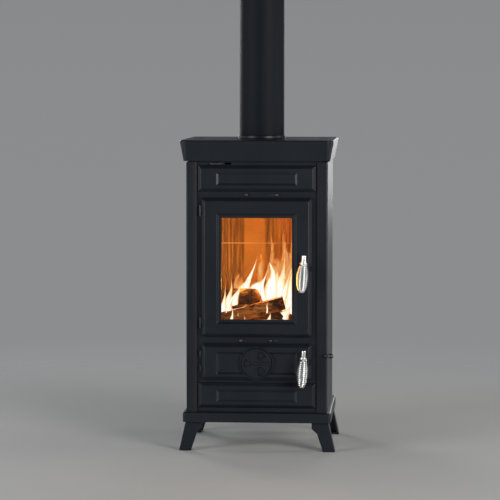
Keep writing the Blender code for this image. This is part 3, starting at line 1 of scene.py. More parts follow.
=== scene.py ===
"""The finish of a small wood stove: castings, panels, doors, coiled handles, lining and a burning fire.

Lengths are metres in the stove's own frame: +Z up, the doors face -Y, the floor is z = 0.
"""

import math

import bmesh
import bpy
import numpy as np
from mathutils import Matrix, Vector


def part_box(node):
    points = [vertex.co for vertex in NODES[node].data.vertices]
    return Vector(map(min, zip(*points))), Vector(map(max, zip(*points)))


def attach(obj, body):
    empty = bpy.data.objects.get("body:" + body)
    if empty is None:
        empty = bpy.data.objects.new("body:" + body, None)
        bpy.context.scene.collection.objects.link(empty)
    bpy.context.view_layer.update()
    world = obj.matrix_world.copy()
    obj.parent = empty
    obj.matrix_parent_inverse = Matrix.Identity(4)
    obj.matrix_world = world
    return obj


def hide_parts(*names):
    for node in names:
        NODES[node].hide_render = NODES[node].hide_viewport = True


bl_info = {
    "name": "Wood Stove",
    "version": (1, 0, 0),
    "blender": (4, 5, 0),
    "location": "View3D > Sidebar > Stove",
    "description": "Dresses the stove's castings, panels, doors, handles and fire",
    "category": "Object",
}

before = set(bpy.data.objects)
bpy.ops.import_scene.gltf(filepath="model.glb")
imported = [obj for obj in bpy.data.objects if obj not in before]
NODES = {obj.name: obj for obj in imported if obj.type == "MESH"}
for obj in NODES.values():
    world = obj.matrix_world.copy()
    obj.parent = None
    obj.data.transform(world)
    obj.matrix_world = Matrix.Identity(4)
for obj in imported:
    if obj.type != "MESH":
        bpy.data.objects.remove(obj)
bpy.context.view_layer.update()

MM = 0.001
UP = np.array([0.0, 0.0, 1.0])


# Sizes read from the frame

def span(node):
    """Low and high corner of a CAD node as arrays."""
    low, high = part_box(node)
    return np.array(low, float), np.array(high, float)


DOOR_LOW, DOOR_HIGH = span("fire_door")
ASH_LOW, ASH_HIGH = span("ash_door")
TOP_LOW, TOP_HIGH = span("top_plate")
PLINTH_LOW, PLINTH_HIGH = span("base_plinth")
PIPE_LOW, PIPE_HIGH = span("flue_pipe")
COLLAR_LOW, COLLAR_HIGH = span("flue_collar")
DISC_LOW, DISC_HIGH = span("air_rosette")
HEARTH_LOW, HEARTH_HIGH = span("hearth_plate")
DOOR_HALF = DOOR_HIGH[0]
DOOR_BACK = span("upper_trim_panel")[1][1]
DOOR_FRONT = DOOR_LOW[1]
FLUE_MIDDLE = (PIPE_LOW + PIPE_HIGH) / 2
LINING_FRONT = span("brick_back_lower")[0][1]
LINING_JOINT = span("brick_back_upper")[0][2]


# Settings a user would change

class StoveSettings(bpy.types.PropertyGroup):
    """Sizes, colours and the strength of the fire"""

    casting_radius: bpy.props.FloatProperty(
        name="Casting edge", description="Rounding along the edges of the castings",
        default=1.1 * MM, min=0.2 * MM, max=3 * MM, unit="LENGTH")
    sheet_radius: bpy.props.FloatProperty(
        name="Sheet edge", description="Rounding along the edges of folded sheet",
        default=0.6 * MM, min=0.1 * MM, max=2 * MM, unit="LENGTH")
    paint: bpy.props.FloatVectorProperty(
        name="Paint", description="Colour of the stove paint", subtype="COLOR",
        default=(0.0058, 0.0083, 0.0126), min=0.0, max=1.0)
    pipe_paint: bpy.props.FloatVectorProperty(
        name="Pipe enamel", description="Colour of the flue pipe", subtype="COLOR",
        default=(0.0045, 0.0068, 0.0105), min=0.0, max=1.0)
    lining: bpy.props.FloatVectorProperty(
        name="Lining", description="Colour of the pressed lining blocks", subtype="COLOR",
        default=(0.62, 0.33, 0.12), min=0.0, max=1.0)
    window_radius: bpy.props.FloatProperty(
        name="Window corner", description="Corner radius of the window opening",
        default=3 * MM, min=0.5 * MM, max=15 * MM, unit="LENGTH")
    fire_power: bpy.props.FloatProperty(
        name="Fire", description="Strength of the light inside the firebox in watts",
        default=2.3, min=0.0, max=20.0)
    flame_glow: bpy.props.FloatProperty(
        name="Flame glow", description="Brightness of the flames", default=1.35, min=0.0, max=20.0)


def settings():
    """The sizes and colours set in the scene."""
    return bpy.context.scene.stove_settings


# Shader maths on sockets

class Wire:
    """A socket whose operators add Math nodes to its tree."""

    def __init__(self, tree, socket):
        self.tree, self.socket = tree, socket

    def _math(self, operation, first, second):
        return self.tree.node("ShaderNodeMath", {"operation": operation}, {0: first, 1: second})

    def __add__(self, other):
        return self._math("ADD", self, other)

    __radd__ = __add__

    def __sub__(self, other):
        return self._math("SUBTRACT", self, other)

    def __rsub__(self, other):
        return self._math("SUBTRACT", other, self)

    def __mul__(self, other):
        return self._math("MULTIPLY", self, other)

    __rmul__ = __mul__

    def __pow__(self, other):
        return self._math("POWER", self, other)

    def clamp(self):
        return self.tree.node("ShaderNodeClamp", {}, {0: self})

    def step(self, low, high):
        """0 below low, 1 above high, smooth between."""
        return self.tree.node("ShaderNodeMapRange", {"interpolation_type": "SMOOTHSTEP"},
                              {"Value": self, "From Min": low, "From Max": high})


class Finish:
    """A material whose nodes are added through one method.

    Its name starts with stove_, because the CAD model's own materials have the plain names.
    """

    def __init__(self, name):
        self.material = bpy.data.materials.new("stove_" + name)
        self.material.use_nodes = True
        self.nodes = self.material.node_tree.nodes
        self.links = self.material.node_tree.links
        self.shader = self.nodes["Principled BSDF"]
        self.place = Wire(self, self.nodes.new("ShaderNodeTexCoord").outputs["Object"])

    def node(self, kind, choices, inputs, output=0):
        """A new node: its choices and a ramp's stops are set first, then its sockets' values or links."""
        made = self.nodes.new(kind)
        for key, value in choices.items():
            if key == "stops":
                ramp = made.color_ramp
                while len(ramp.elements) < len(value):
                    ramp.elements.new(0.5)
                for element, (position, colour) in zip(ramp.elements, value):
                    element.position, element.color = position, (*colour, 1.0)
            else:
                setattr(made, key, value)
        for key, value in inputs.items():
            self.feed(made.inputs[key], value)
        return Wire(self, made.outputs[output])

    def feed(self, socket, value):
        """Links a wire to a socket, or sets the socket's value."""
        if isinstance(value, Wire):
            self.links.new(value.socket, socket)
        elif isinstance(value, (tuple, list)) and len(value) == 3 and socket.type == "RGBA":
            socket.default_value = (*value, 1.0)
        else:
            socket.default_value = value

    def set(self, **sockets):
        """Feeds the shader's sockets, with _ for each blank of a name, and hands back the material."""
        for name, value in sockets.items():
            self.feed(self.shader.inputs[name.replace("_", " ")], value)
        return self.material

    def noise(self, scale, detail=4.0, roughness=0.55, where=None, distortion=0.0):
        """Noise over the object coordinates or another vector."""
        return self.node("ShaderNodeTexNoise", {}, {
            "Vector": where or self.place, "Scale": scale, "Detail": detail,
            "Roughness": roughness, "Distortion": distortion})

    def stretched(self, scale, turn=(0.0, 0.0, 0.0)):
        """Object coordinates scaled unevenly, for grain that runs one way."""
        return self.node("ShaderNodeMapping", {}, {"Vector": self.place, "Scale": scale, "Rotation": turn})

    def mix(self, share, first, second):
        """The first colour at share 0, the second at share 1."""
        return self.node("ShaderNodeMix", {"data_type": "RGBA"}, {0: share, 6: first, 7: second}, output=2)

    def ramp(self, value, stops):
        """A colour read off (position, colour) stops."""
        return self.node("ShaderNodeValToRGB", {"stops": stops}, {0: value})

    def axis(self, number):
        """One of the object coordinates, 0 to 2 for x to z."""
        return self.node("ShaderNodeSeparateXYZ", {}, {0: self.place}, output=number)

    def bump(self, height, depth, strength=1.0):
        """A normal from a height; depth is the full height in metres."""
        return self.node("ShaderNodeBump", {}, {"Height": height, "Distance": depth, "Strength": strength})


def shade(colour, share):
    """A colour made lighter or darker by one factor."""
    return tuple(min(1.0, channel * share) for channel in colour)


# Specular levels of the finishes
PAINT_SHINE = 0.32
PIPE_SHINE = 0.12
DULL_SHINE = 0.10

# On the lining: the plain strip's two edges in x, where the painted shade over the ribs fades, and the pale
# joint's half width
STRIP_LEFT = (-60.0 * MM, -53.0 * MM)
STRIP_RIGHT = (0.0, 3.0 * MM)
RIB_SHADE_FADE = (12.0 * MM, 40.0 * MM)
JOINT_CORE = 0.8 * MM
JOINT_FADE = 2.2 * MM

# Colours of the fire from its rim to its middle, the wisps' share of the glow, and the distances from the
# middle between which the floor clears
FLAME_STOPS = (
    (0.0, (1.0, 0.20, 0.02)), (0.22, (1.0, 0.42, 0.10)),
    (0.48, (1.0, 0.68, 0.38)), (0.82, (1.0, 0.92, 0.84)),
)
WISP_STOPS = ((0.0, (1.0, 0.20, 0.03)), (0.4, (1.0, 0.34, 0.07)), (0.9, (1.0, 0.56, 0.22)))
WISP_GLOW = 0.62
FLOOR_FADE = (0.7, 2.6)


def cast_paint():
    """Stove paint over sand-cast iron: fine grain, slow unevenness and slightly dry high spots."""
    made = Finish("cast_paint")
    paint = tuple(settings().paint)
    grain = made.noise(900.0, 3.0, 0.6)
    cloud = made.noise(9.0, 5.0, 0.6)
    speckle = made.noise(2600.0, 2.0, 0.5).step(0.56, 0.72)
    colour = made.mix(cloud.step(0.3, 0.7), shade(paint, 0.86), shade(paint, 1.16))
    colour = made.mix(speckle * 0.35, colour, shade(paint, 1.9))
    return made.set(Base_Color=colour, Roughness=0.30 + cloud * 0.10 + grain * 0.06,
                    Specular_IOR_Level=PAINT_SHINE,
                    Normal=made.bump(grain + cloud * 0.3, 0.16 * MM, 0.55))


def sheet_paint():
    """Smoother satin paint on rolled sheet, with a faint orange-peel surface."""
    made = Finish("sheet_paint")
    paint = tuple(settings().paint)
    peel = made.noise(420.0, 2.0, 0.5)
    cloud = made.noise(6.0, 4.0, 0.6)
    colour = made.mix(cloud.step(0.3, 0.7), shade(paint, 0.88), shade(paint, 1.12))
    return made.set(Base_Color=colour, Roughness=0.36 + cloud * 0.10, Specular_IOR_Level=PAINT_SHINE,
                    Normal=made.bump(peel, 0.10 * MM, 0.4))


def pipe_enamel():
    """Blue-black enamel on rolled pipe, with faint upright streaks."""
    made = Finish("pipe_enamel")
    paint = tuple(settings().pipe_paint)
    streak = made.noise(60.0, 4.0, 0.6, made.stretched((1.0, 1.0, 0.06)))
    peel = made.noise(500.0, 2.0, 0.5)
    colour = made.mix(streak.step(0.3, 0.7), shade(paint, 0.8), shade(paint, 1.25))
    return made.set(Base_Color=colour, Roughness=0.52 + streak * 0.14, Specular_IOR_Level=PIPE_SHINE,
                    Normal=made.bump(peel, 0.06 * MM, 0.4))


def chrome():
    """Bright plating with faint wiping marks."""
    made = Finish("chrome")
    smear = made.noise(140.0, 4.0, 0.6)
    colour = made.mix(smear, (0.84, 0.84, 0.83), (0.94, 0.94, 0.93))
    return made.set(Base_Color=colour, Metallic=1.0, Roughness=0.14 + smear * 0.12,
                    Normal=made.bump(smear, 0.03 * MM, 0.3))


def steel():
    """Blackened steel with fine drawn scratches."""
    made = Finish("steel")
    scratch = made.noise(700.0, 3.0, 0.6, made.stretched((1.0, 0.05, 1.0)))
    cloud = made.noise(30.0, 4.0, 0.6)
    colour = made.mix(cloud.step(0.35, 0.7), (0.060, 0.062, 0.067), (0.115, 0.115, 0.120))
    return made.set(Base_Color=colour, Metallic=0.9, Roughness=0.30 + scratch * 0.18,
                    Normal=made.bump(scratch, 0.04 * MM, 0.4))


def raw_iron():
    """Sooty bare iron with rust-brown patches and a coarse skin."""
    made = Finish("raw_iron")
    cloud = made.noise(26.0, 6.0, 0.65)
    pit = made.noise(420.0, 4.0, 0.6)
    colour = made.ramp(cloud, [(0.30, (0.012, 0.011, 0.011)), (0.55, (0.040, 0.032, 0.027)),
                               (0.72, (0.085, 0.048, 0.030))])
    return made.set(Base_Color=colour, Roughness=0.62 + cloud * 0.25,
                    Normal=made.bump(pit + cloud, 0.35 * MM, 0.6))


def vermiculite():
    """Pressed lining board: flaky golden grain, sooty low down and on the ribs, pale along its joint."""
    made = Finish("vermiculite")
    base = tuple(settings().lining)
    flake = made.noise(520.0, 3.0, 0.7)
    cloud = made.noise(14.0, 5.0, 0.6)
    x, z = made.axis(0), made.axis(2)
    # Darker towards the bottom of the lining, with a cloudy edge
    low_darkening = 1.0 - (z + cloud * 0.10).step(0.34, 0.52)
    # Painted shade: the ribbed zones left of the plain strip and just right of it are darkened, with upright
    # streaks standing in for the ribs' own shading; it fades out towards the right
    streak = made.noise(130.0, 3.0, 0.6, made.stretched((1.0, 1.0, 0.04))).step(0.38, 0.62)
    ribs = (1.0 - x.step(*STRIP_LEFT)) + x.step(*STRIP_RIGHT) * (1.0 - x.step(*RIB_SHADE_FADE))
    rib_shade = ribs.clamp() * (0.30 + streak * 0.50)
    joint = z.step(LINING_JOINT - JOINT_FADE, LINING_JOINT - JOINT_CORE)
    joint = joint * (1.0 - z.step(LINING_JOINT + JOINT_CORE, LINING_JOINT + JOINT_FADE))
    colour = made.mix(flake.step(0.3, 0.7), shade(base, 0.8), shade(base, 1.18))
    colour = made.mix(cloud.step(0.35, 0.75) * 0.35, colour, shade(base, 0.6))
    # Painted shade over the ribbed zones
    colour = made.mix(rib_shade, colour, shade(base, 0.22))
    # Darker towards the bottom
    colour = made.mix(low_darkening * 0.55, colour, (0.10, 0.055, 0.030))
    colour = made.mix(joint * 0.7, colour, (0.95, 0.72, 0.45))
    return made.set(Base_Color=colour, Roughness=0.88 + cloud * 0.08, Specular_IOR_Level=DULL_SHINE,
                    Normal=made.bump(flake + cloud, 0.30 * MM, 0.7))


def rope_seal():
    """Braided glass rope: crossed slanting ribs over a grey-black core."""
    made = Finish("rope_seal")
    bands = {"wave_type": "BANDS", "bands_direction": "DIAGONAL"}
    slants = [made.stretched((1.0, 1.0, side)) for side in (1.0, -1.0)]
    left, right = [
        made.node("ShaderNodeTexWave", bands, {"Vector": slant, "Scale": 260.0, "Distortion": 1.5}, output=1)
        for slant in slants]
    weave = left * right
    colour = made.mix(weave, (0.018, 0.018, 0.018), (0.075, 0.073, 0.070))
    return made.set(Base_Color=colour, Roughness=0.9 + weave * 0.08, Normal=made.bump(weave, 0.5 * MM, 0.8))


def ceramic_glass():
    """Stove glass: almost clear, faintly amber, with a light haze in patches."""
    made = Finish("ceramic_glass")
    haze = made.noise(18.0, 5.0, 0.6).step(0.45, 0.85)
    return made.set(Base_Color=(0.20, 0.12, 0.06), Roughness=0.03 + haze * 0.10,
                    Alpha=0.045 + haze * 0.03)


def log_bark():
    """Charred bark: deep furrows along the log, glowing a little in the cracks."""
    made = Finish("log_bark")
    furrow = made.noise(70.0, 6.0, 0.65, made.stretched((0.5, 1.0, 1.0)))
    colour = made.ramp(furrow, [(0.36, (0.010, 0.005, 0.003)), (0.55, (0.075, 0.028, 0.009)),
                                (0.75, (0.28, 0.12, 0.04))])
    glow = made.ramp(furrow, [(0.26, (1.0, 0.22, 0.03)), (0.34, (0.10, 0.012, 0.001)),
                              (0.42, (0.0, 0.0, 0.0))])
    return made.set(Base_Color=colour, Roughness=0.9, Specular_IOR_Level=DULL_SHINE,
                    Emission_Color=glow, Emission_Strength=1.0, Normal=made.bump(furrow, 3 * MM, 0.8))


def split_wood():
    """Split wood: a brown face with long grain lines and charred patches."""
    made = Finish("split_wood")
    grain = made.noise(160.0, 5.0, 0.6, made.stretched((0.08, 1.0, 1.0), (0.0, math.radians(-11.0), 0.0)))
    char = made.noise(28.0, 5.0, 0.65)
    colour = made.mix(grain.step(0.35, 0.68), (0.10, 0.028, 0.005), (0.42, 0.14, 0.026))
    colour = made.mix(char.step(0.50, 0.64), colour, (0.030, 0.010, 0.003))
    return made.set(Base_Color=colour, Roughness=0.8, Specular_IOR_Level=DULL_SHINE,
                    Normal=made.bump(grain + char, 0.8 * MM, 0.7))


def embers():
    """Glowing coals: orange in the gaps between them, ash grey on their crowns."""
    made = Finish("embers")
    cell = made.node("ShaderNodeTexVoronoi", {}, {"Vector": made.place, "Scale": 75.0})
    cloud = made.noise(34.0, 4.0, 0.6)
    heat = (cell * 0.9 + cloud * 0.8).step(0.35, 1.05)
    colour = made.mix(heat, (0.20, 0.17, 0.15), (0.03, 0.02, 0.015))
    glow = made.ramp(heat, [(0.0, (0.02, 0.001, 0.0)), (0.4, (0.75, 0.10, 0.01)), (0.8, (1.0, 0.42, 0.07))])
    return made.set(Base_Color=colour, Roughness=0.95, Specular_IOR_Level=DULL_SHINE,
                    Emission_Color=glow, Emission_Strength=1.6, Normal=made.bump(cell + cloud, 4 * MM, 0.8))


def burning(name, thinness, ragged, rise, stops, glow):
    """A burning surface: dense and pale in its middle, orange, ragged and clear at its sides and tip.

    Its UV map runs across the flame in u and up it in v. Density is 4 u (1 - u) plus upright noise, less v
    squared and the thinness, and it grows over the first share of v named rise; opacity and colour follow it.
    """
    made = Finish(name)
    across = made.node("ShaderNodeUVMap", {"uv_map": "flame"}, {})
    u = made.node("ShaderNodeSeparateXYZ", {}, {0: across}, output=0)
    v = made.node("ShaderNodeSeparateXYZ", {}, {0: across}, output=1)
    lick = made.noise(34.0, 4.0, 0.6, made.stretched((1.0, 1.0, 0.34)), 0.8)
    dense = (4.0 * u * (1.0 - u)).clamp() * 1.15 + (lick - 0.5) * ragged - v * v * 0.7 - thinness
    dense = dense + v.step(0.0, rise) - 1.0
    return made.set(Base_Color=(0.0, 0.0, 0.0), Roughness=1.0, Specular_IOR_Level=0.0,
                    Emission_Color=made.ramp(dense.clamp(), stops), Emission_Strength=glow,
                    Alpha=dense.step(0.0, 0.6) * 0.96)


def flame():
    """The body of the fire, white hot in its middle."""
    return burning("flame", thinness=0.14, ragged=1.7, rise=0.02, stops=FLAME_STOPS,
                   glow=settings().flame_glow)


def wisp():
    """Thin orange flames behind and above the fire."""
    return burning("wisp", thinness=0.45, ragged=3.4, rise=0.25, stops=WISP_STOPS,
                   glow=settings().flame_glow * WISP_GLOW)


def pale_floor():
    """A plain pale floor with faint trowel clouds, clear beyond a few metres so that it has no edge."""
    made = Finish("pale_floor")
    cloud = made.noise(1.6, 5.0, 0.55)
    x, y = made.axis(0), made.axis(1)
    away = (x * x + y * y) ** 0.5
    colour = made.mix(cloud, (0.52, 0.52, 0.51), (0.60, 0.60, 0.59))
    return made.set(Base_Color=colour, Roughness=0.75 + cloud * 0.1, Specular_IOR_Level=DULL_SHINE,
                    Normal=made.bump(made.noise(60.0), 0.3 * MM, 0.3), Alpha=1.0 - away.step(*FLOOR_FADE))


FINISHES = {maker.__name__: maker for maker in (
    cast_paint, sheet_paint, pipe_enamel, chrome, steel, raw_iron, vermiculite, rope_seal,
    ceramic_glass, log_bark, split_wood, embers, flame, wisp, pale_floor)}


def material(name):
    """The finish of that name, made when it is first asked for."""
    return bpy.data.materials.get("stove_" + name) or FINISHES[name]()


# Surfaces

CREASE = math.radians(28.0)
CARVED_CREASE = math.radians(50.0)


def piece(name, points, faces, finish_name, merge=True):
    """A smooth-shaded mesh object at the origin with outward faces; merge joins its doubles first."""
    mesh = bpy.data.meshes.new(name)
    mesh.from_pydata(np.asarray(points).reshape(-1, 3), [], faces)
    shape = bmesh.new()
    shape.from_mesh(mesh)
    if merge:
        bmesh.ops.remove_doubles(shape, verts=shape.verts, dist=1e-6)
        bmesh.ops.dissolve_degenerate(shape, edges=shape.edges, dist=1e-7)
    bmesh.ops.recalc_face_normals(shape, faces=shape.faces)
    shape.to_mesh(mesh)
    shape.free()
    mesh.shade_smooth()
    made = bpy.data.objects.new(name, mesh)
    bpy.context.scene.collection.objects.link(made)
    mesh.materials.append(material(finish_name))
    return made


def grid_faces(rows, columns, round_rows=False, round_columns=True):
    """Quads over a grid of rows by columns; either way round may join its end to its start."""
    i = np.arange(rows if round_rows else rows - 1)
    j = np.arange(columns if round_columns else columns - 1)
    i, j = np.meshgrid(i, j, indexing="ij")
    below, right = (i + 1) % rows, (j + 1) % columns
    corners = [i * columns + j, i * columns + right, below * columns + right, below * columns + j]
    return np.stack([corner.ravel() for corner in corners], axis=1).tolist()


def surface(name, grid, finish_name, loop=False, merge=True):
    """A closed body from a grid of rings: the last ring joins the first, or both end rings are filled."""
    rows, columns = grid.shape[:2]
    faces = grid_faces(rows, columns, round_rows=loop)
    if not loop:
        faces += [list(range(columns)), list(range((rows - 1) * columns, rows * columns))]
    return piece(name, grid, faces, finish_name, merge)


def rounded_rectangle(low, high, radius, steps=8):
    """Points of a rectangle with round corners: each corner's centre plus radius times (cos, sin)."""
    quarter = np.linspace(0.0, np.pi / 2, steps + 1)
    low, high = np.asarray(low, float), np.asarray(high, float)
    centres = np.array([[high[0] - radius, low[1] + radius], [high[0] - radius, high[1] - radius],
                        [low[0] + radius, high[1] - radius], [low[0] + radius, low[1] + radius]])
    angles = quarter[None] + (np.arange(4)[:, None] - 1) * np.pi / 2
    ring = centres[:, None] + radius * np.stack([np.cos(angles), np.sin(angles)], axis=2)
    return ring.reshape(-1, 2)


def upright_rings(half, low, high, radius, rows):
    """Rings facing the front. Each row is (depth y, inset): the outline is drawn in by the inset."""
    rings = []
    for y, inset in rows:
        flat = rounded_rectangle((-half + inset, low + inset), (half - inset, high - inset),
                                 max(radius - inset, 0.8 * MM))
        rings.append(np.column_stack([flat[:, 0], np.full(len(flat), y), flat[:, 1]]))
    return np.array(rings)


def flat_rings(low, high, radius, rows):
    """Rings lying flat. Each row is (height z, grow): the plan is widened by grow."""
    rings = []
    for z, grow in rows:
        flat = rounded_rectangle(low - grow, high + grow, max(radius + grow, 0.8 * MM))
        rings.append(np.column_stack([flat, np.full(len(flat), z)]))
    return np.array(rings)


def turned(name, profile, centre, finish_name, axis="z", steps=64, loop=False, tilt=0.0):
    """A body of revolution: (radius, height) pairs swept by an angle a.

    Point = centre + (radius cos a, radius sin a, height), turned so that height runs up, front or right.
    """
    profile = np.asarray(profile, float)
    angle = np.linspace(0.0, 2 * np.pi, steps, endpoint=False)
    radius, height = profile[:, :1], np.repeat(profile[:, 1:], steps, axis=1)
    across, along = radius * np.cos(angle), radius * np.sin(angle)
    if axis == "front":
        grid = np.stack([across, -height, along], axis=2)
    elif axis == "right":
        grid = np.stack([height, across, along], axis=2)
    else:
        grid = np.stack([across, along, height], axis=2)
    return surface(name, tilted(grid, tilt) + np.asarray(centre, float), finish_name, loop=loop)


def tilted(points, angle):
    """Points turned about the y axis, so that what hangs below swings to the left for a positive angle."""
    cos, sin = math.cos(angle), math.sin(angle)
    turn = np.array([[cos, 0.0, sin], [0.0, 1.0, 0.0], [-sin, 0.0, cos]])
    return points @ turn.T


def fillet(profile, radius, steps=4, closed=False):
    """A profile whose corners are rounded: each becomes a quadratic arc between its two tangent points."""
    profile = np.asarray(profile, float)
    before, after = np.roll(profile, 1, axis=0), np.roll(profile, -1, axis=0)
    back, ahead = before - profile, after - profile
    lengths = [np.maximum(np.linalg.norm(way, axis=1, keepdims=True), 1e-9) for way in (back, ahead)]
    reach = np.minimum(radius, 0.45 * np.minimum(*lengths))
    start, end = profile + back / lengths[0] * reach, profile + ahead / lengths[1] * reach
    t = np.linspace(0.0, 1.0, steps + 1)[None, :, None]
    arcs = (1 - t) ** 2 * start[:, None] + 2 * t * (1 - t) * profile[:, None] + t ** 2 * end[:, None]
    if closed:
        return arcs.reshape(-1, profile.shape[1])
    inner = arcs[1:-1].reshape(-1, profile.shape[1])
    return np.concatenate([profile[:1], inner, profile[-1:]])


def tube(name, path, radius, sides, finish_name, across):
    """A round bar along a path: each ring is the path point plus radius times (cos a n + sin a b).

    n is the across direction made square to the path, and b is square to both.
    """
    ahead = np.gradient(path, axis=0)
    ahead /= np.linalg.norm(ahead, axis=1, keepdims=True)
    normal = across - (across * ahead).sum(axis=1, keepdims=True) * ahead
    normal /= np.linalg.norm(normal, axis=1, keepdims=True)
    other = np.cross(ahead, normal)
    angle = np.linspace(0.0, 2 * np.pi, sides, endpoint=False)
    ring = np.cos(angle)[None, :, None] * normal[:, None] + np.sin(angle)[None, :, None] * other[:, None]
    return surface(name, path[:, None] + radius * ring, finish_name)


def flats(made):
    """Shading weighted by face area, so that flats read flat beside their rounded edges."""
    step = made.modifiers.new("Flats", "WEIGHTED_NORMAL")
    step.keep_sharp = True
    return made


def rounded_edges(made, width, segments=3):
    """Rounds the sharp edges and keeps the flats flat."""
    step = made.modifiers.new("Rounded", "BEVEL")
    step.width = width
    step.segments = segments
    step.limit_method = "ANGLE"
    step.angle_limit = CREASE
    return flats(made)


def carve(made, *cutters):
    """Cuts shapes from another at once, marks the sharp edges of the cut and removes the cutters."""
    for cutter in cutters:
        step = made.modifiers.new("Carve", "BOOLEAN")
        step.object = cutter
        step.operation = "DIFFERENCE"
    bpy.context.view_layer.update()
    graph = bpy.context.evaluated_depsgraph_get()
    cut_mesh = bpy.data.meshes.new_from_object(made.evaluated_get(graph))
    cut_mesh.set_sharp_from_angle(angle=CARVED_CREASE)
    made.modifiers.clear()
    made.data = cut_mesh
    for cutter in cutters:
        bpy.data.objects.remove(cutter)
    return made


def block(name, low, high, finish_name):
    """A closed box from its corners, as a grid of two rings."""
    corners = ((low[0], low[1]), (high[0], low[1]), (high[0], high[1]), (low[0], high[1]))
    rings = [[(x, y, z) for x, y in corners] for z in (low[2], high[2])]
    return surface(name, np.array(rings), finish_name)


def settle(made, body, node=None):
    """A finished piece rides on its body, stands for its CAD node and takes the record's slot."""
    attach(made, body)
    if node:
        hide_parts(node)
    return made


def recut(node, finish_name, body="root", edge=0.0):
    """A smoother copy of a CAD node: its triangles merged, its flats joined and its edges rounded."""
    shape = bmesh.new()
    shape.from_mesh(NODES[node].data)
    bmesh.ops.remove_doubles(shape, verts=shape.verts, dist=2e-6)
    bmesh.ops.dissolve_limit(shape, angle_limit=math.radians(1.0), verts=shape.verts, edges=shape.edges)
    mesh = bpy.data.meshes.new(node + "_finished")
    shape.to_mesh(mesh)
    shape.free()
    mesh.shade_smooth()
    mesh.set_sharp_from_angle(angle=CREASE)
    mesh.materials.clear()
    mesh.materials.append(material(finish_name))
    made = bpy.data.objects.new(mesh.name, mesh)
    bpy.context.scene.collection.objects.link(made)
    if edge:
        rounded_edges(made, edge, 2)
    return settle(made, body, node)


def joined(name, *pieces_of_it):
    """Several meshes of one finish as one piece."""
    first, *others = pieces_of_it
    shape = bmesh.new()
    for item in pieces_of_it:
        shape.from_mesh(item.data)
    shape.to_mesh(first.data)
    shape.free()
    first.data.shade_smooth()
    first.name = name
    for item in others:
        bpy.data.objects.remove(item)
    return first


# Sizes of the castings' details

DOOR_CORNER = 8.0 * MM
DOOR_CHAMFER = 9.0 * MM
DOOR_CHAMFER_DEPTH = 7.0 * MM
LAND = 3.0 * MM
ROPE_INSET = 6.4 * MM
ROPE_RADIUS = 2.4 * MM
GROOVE_HALF = 2.7 * MM
GROOVE_DEPTH = 5.1 * MM
RECESS_DEPTH = 4.0 * MM
RECESS_SLOPE = 5.0 * MM
WINDOW_SIDE = 41.2 * MM
WINDOW_BOTTOM = 35.3 * MM
WINDOW_TOP = 41.5 * MM
WINDOW_LIP = 12.5 * MM
LIP_THICKNESS = 4.0 * MM
POCKET_INSET = 1.5 * MM
ASH_SIDE = 40.2 * MM
ASH_BOTTOM = 15.6 * MM
ASH_TOP = 22.1 * MM
NOTCH_WIDTH = 8.0 * MM
NOTCH_DEPTH = 8.5 * MM
NOTCH_HEIGHT = 17.0 * MM
FIRE_NOTCH_RISE = 178.0 * MM
ASH_NOTCH_RISE = 42.0 * MM
HANDLE_INSET = 19.8 * MM
SHAFT_RADIUS = 4.0 * MM
HANDLE_STANDOFF = 28.0 * MM
TRIM_CHAMFER = 9.0 * MM
TRIM_CHAMFER_DEPTH = 6.0 * MM
TRIM_SIDE = 50.5 * MM
TRIM_BOTTOM = 16.6 * MM
TRIM_TOP = 19.0 * MM
TRIM_RECESS_DEPTH = 3.0 * MM
TRIM_SLOPE = 6.0 * MM

HANDLE_X = DOOR_HALF - HANDLE_INSET
HANDLE_Y = DOOR_FRONT - HANDLE_STANDOFF
HINGE_X, HINGE_Y, _ = sum(span("fire_hinge_lower_pin")) / 2
KNUCKLE_RADIUS = 3.3 * MM
KNUCKLE_BORE = 1.8 * MM
KNUCKLE_WEB_HALF = 1.5 * MM
FIT = 0.3 * MM


def round_cutter(centre, radius, half_length, axis="z", steps=32):
    """A plain cylinder through a centre, for a hole."""
    profile = [(0.0, -half_length), (radius, -half_length), (radius, half_length), (0.0, half_length)]
    return turned("cutter", profile, centre, "steel", axis, steps)


def handle_height(prefix):
    """The latch shaft's centre height: its nose hangs below, so the shaft's top edge gives it."""
    return span(f"{prefix}_latch_shaft")[1][2] - SHAFT_RADIUS


def door_outside(low, high):
    """The rope groove, the back edge, the chamfer and a strip of the front face, as (depth, inset) rows."""
    inner, outer = ROPE_INSET + GROOVE_HALF, ROPE_INSET - GROOVE_HALF
    rows = [
        (DOOR_BACK, inner + LAND), (DOOR_BACK, inner), (DOOR_BACK - GROOVE_DEPTH, inner),
        (DOOR_BACK - GROOVE_DEPTH, outer), (DOOR_BACK, outer), (DOOR_BACK, 0.0),
        (DOOR_FRONT + DOOR_CHAMFER_DEPTH, 0.0), (DOOR_FRONT, DOOR_CHAMFER), (DOOR_FRONT, DOOR_CHAMFER + LAND),
    ]
    return upright_rings(DOOR_HALF, low, high, DOOR_CORNER, fillet(rows, settings().casting_radius))


def door_cutters(low, handle_z, notch_rise):
    """The latch shaft's hole and the notch in the free edge."""
    notch = low + notch_rise
    return (
        round_cutter((HANDLE_X, DOOR_BACK, handle_z), SHAFT_RADIUS + FIT, 40 * MM, "front"),
        block("cutter", (DOOR_HALF - NOTCH_WIDTH, DOOR_FRONT - 2 * MM, notch),
              (DOOR_HALF + 2 * MM, DOOR_FRONT + NOTCH_DEPTH, notch + NOTCH_HEIGHT), "steel"),
    )


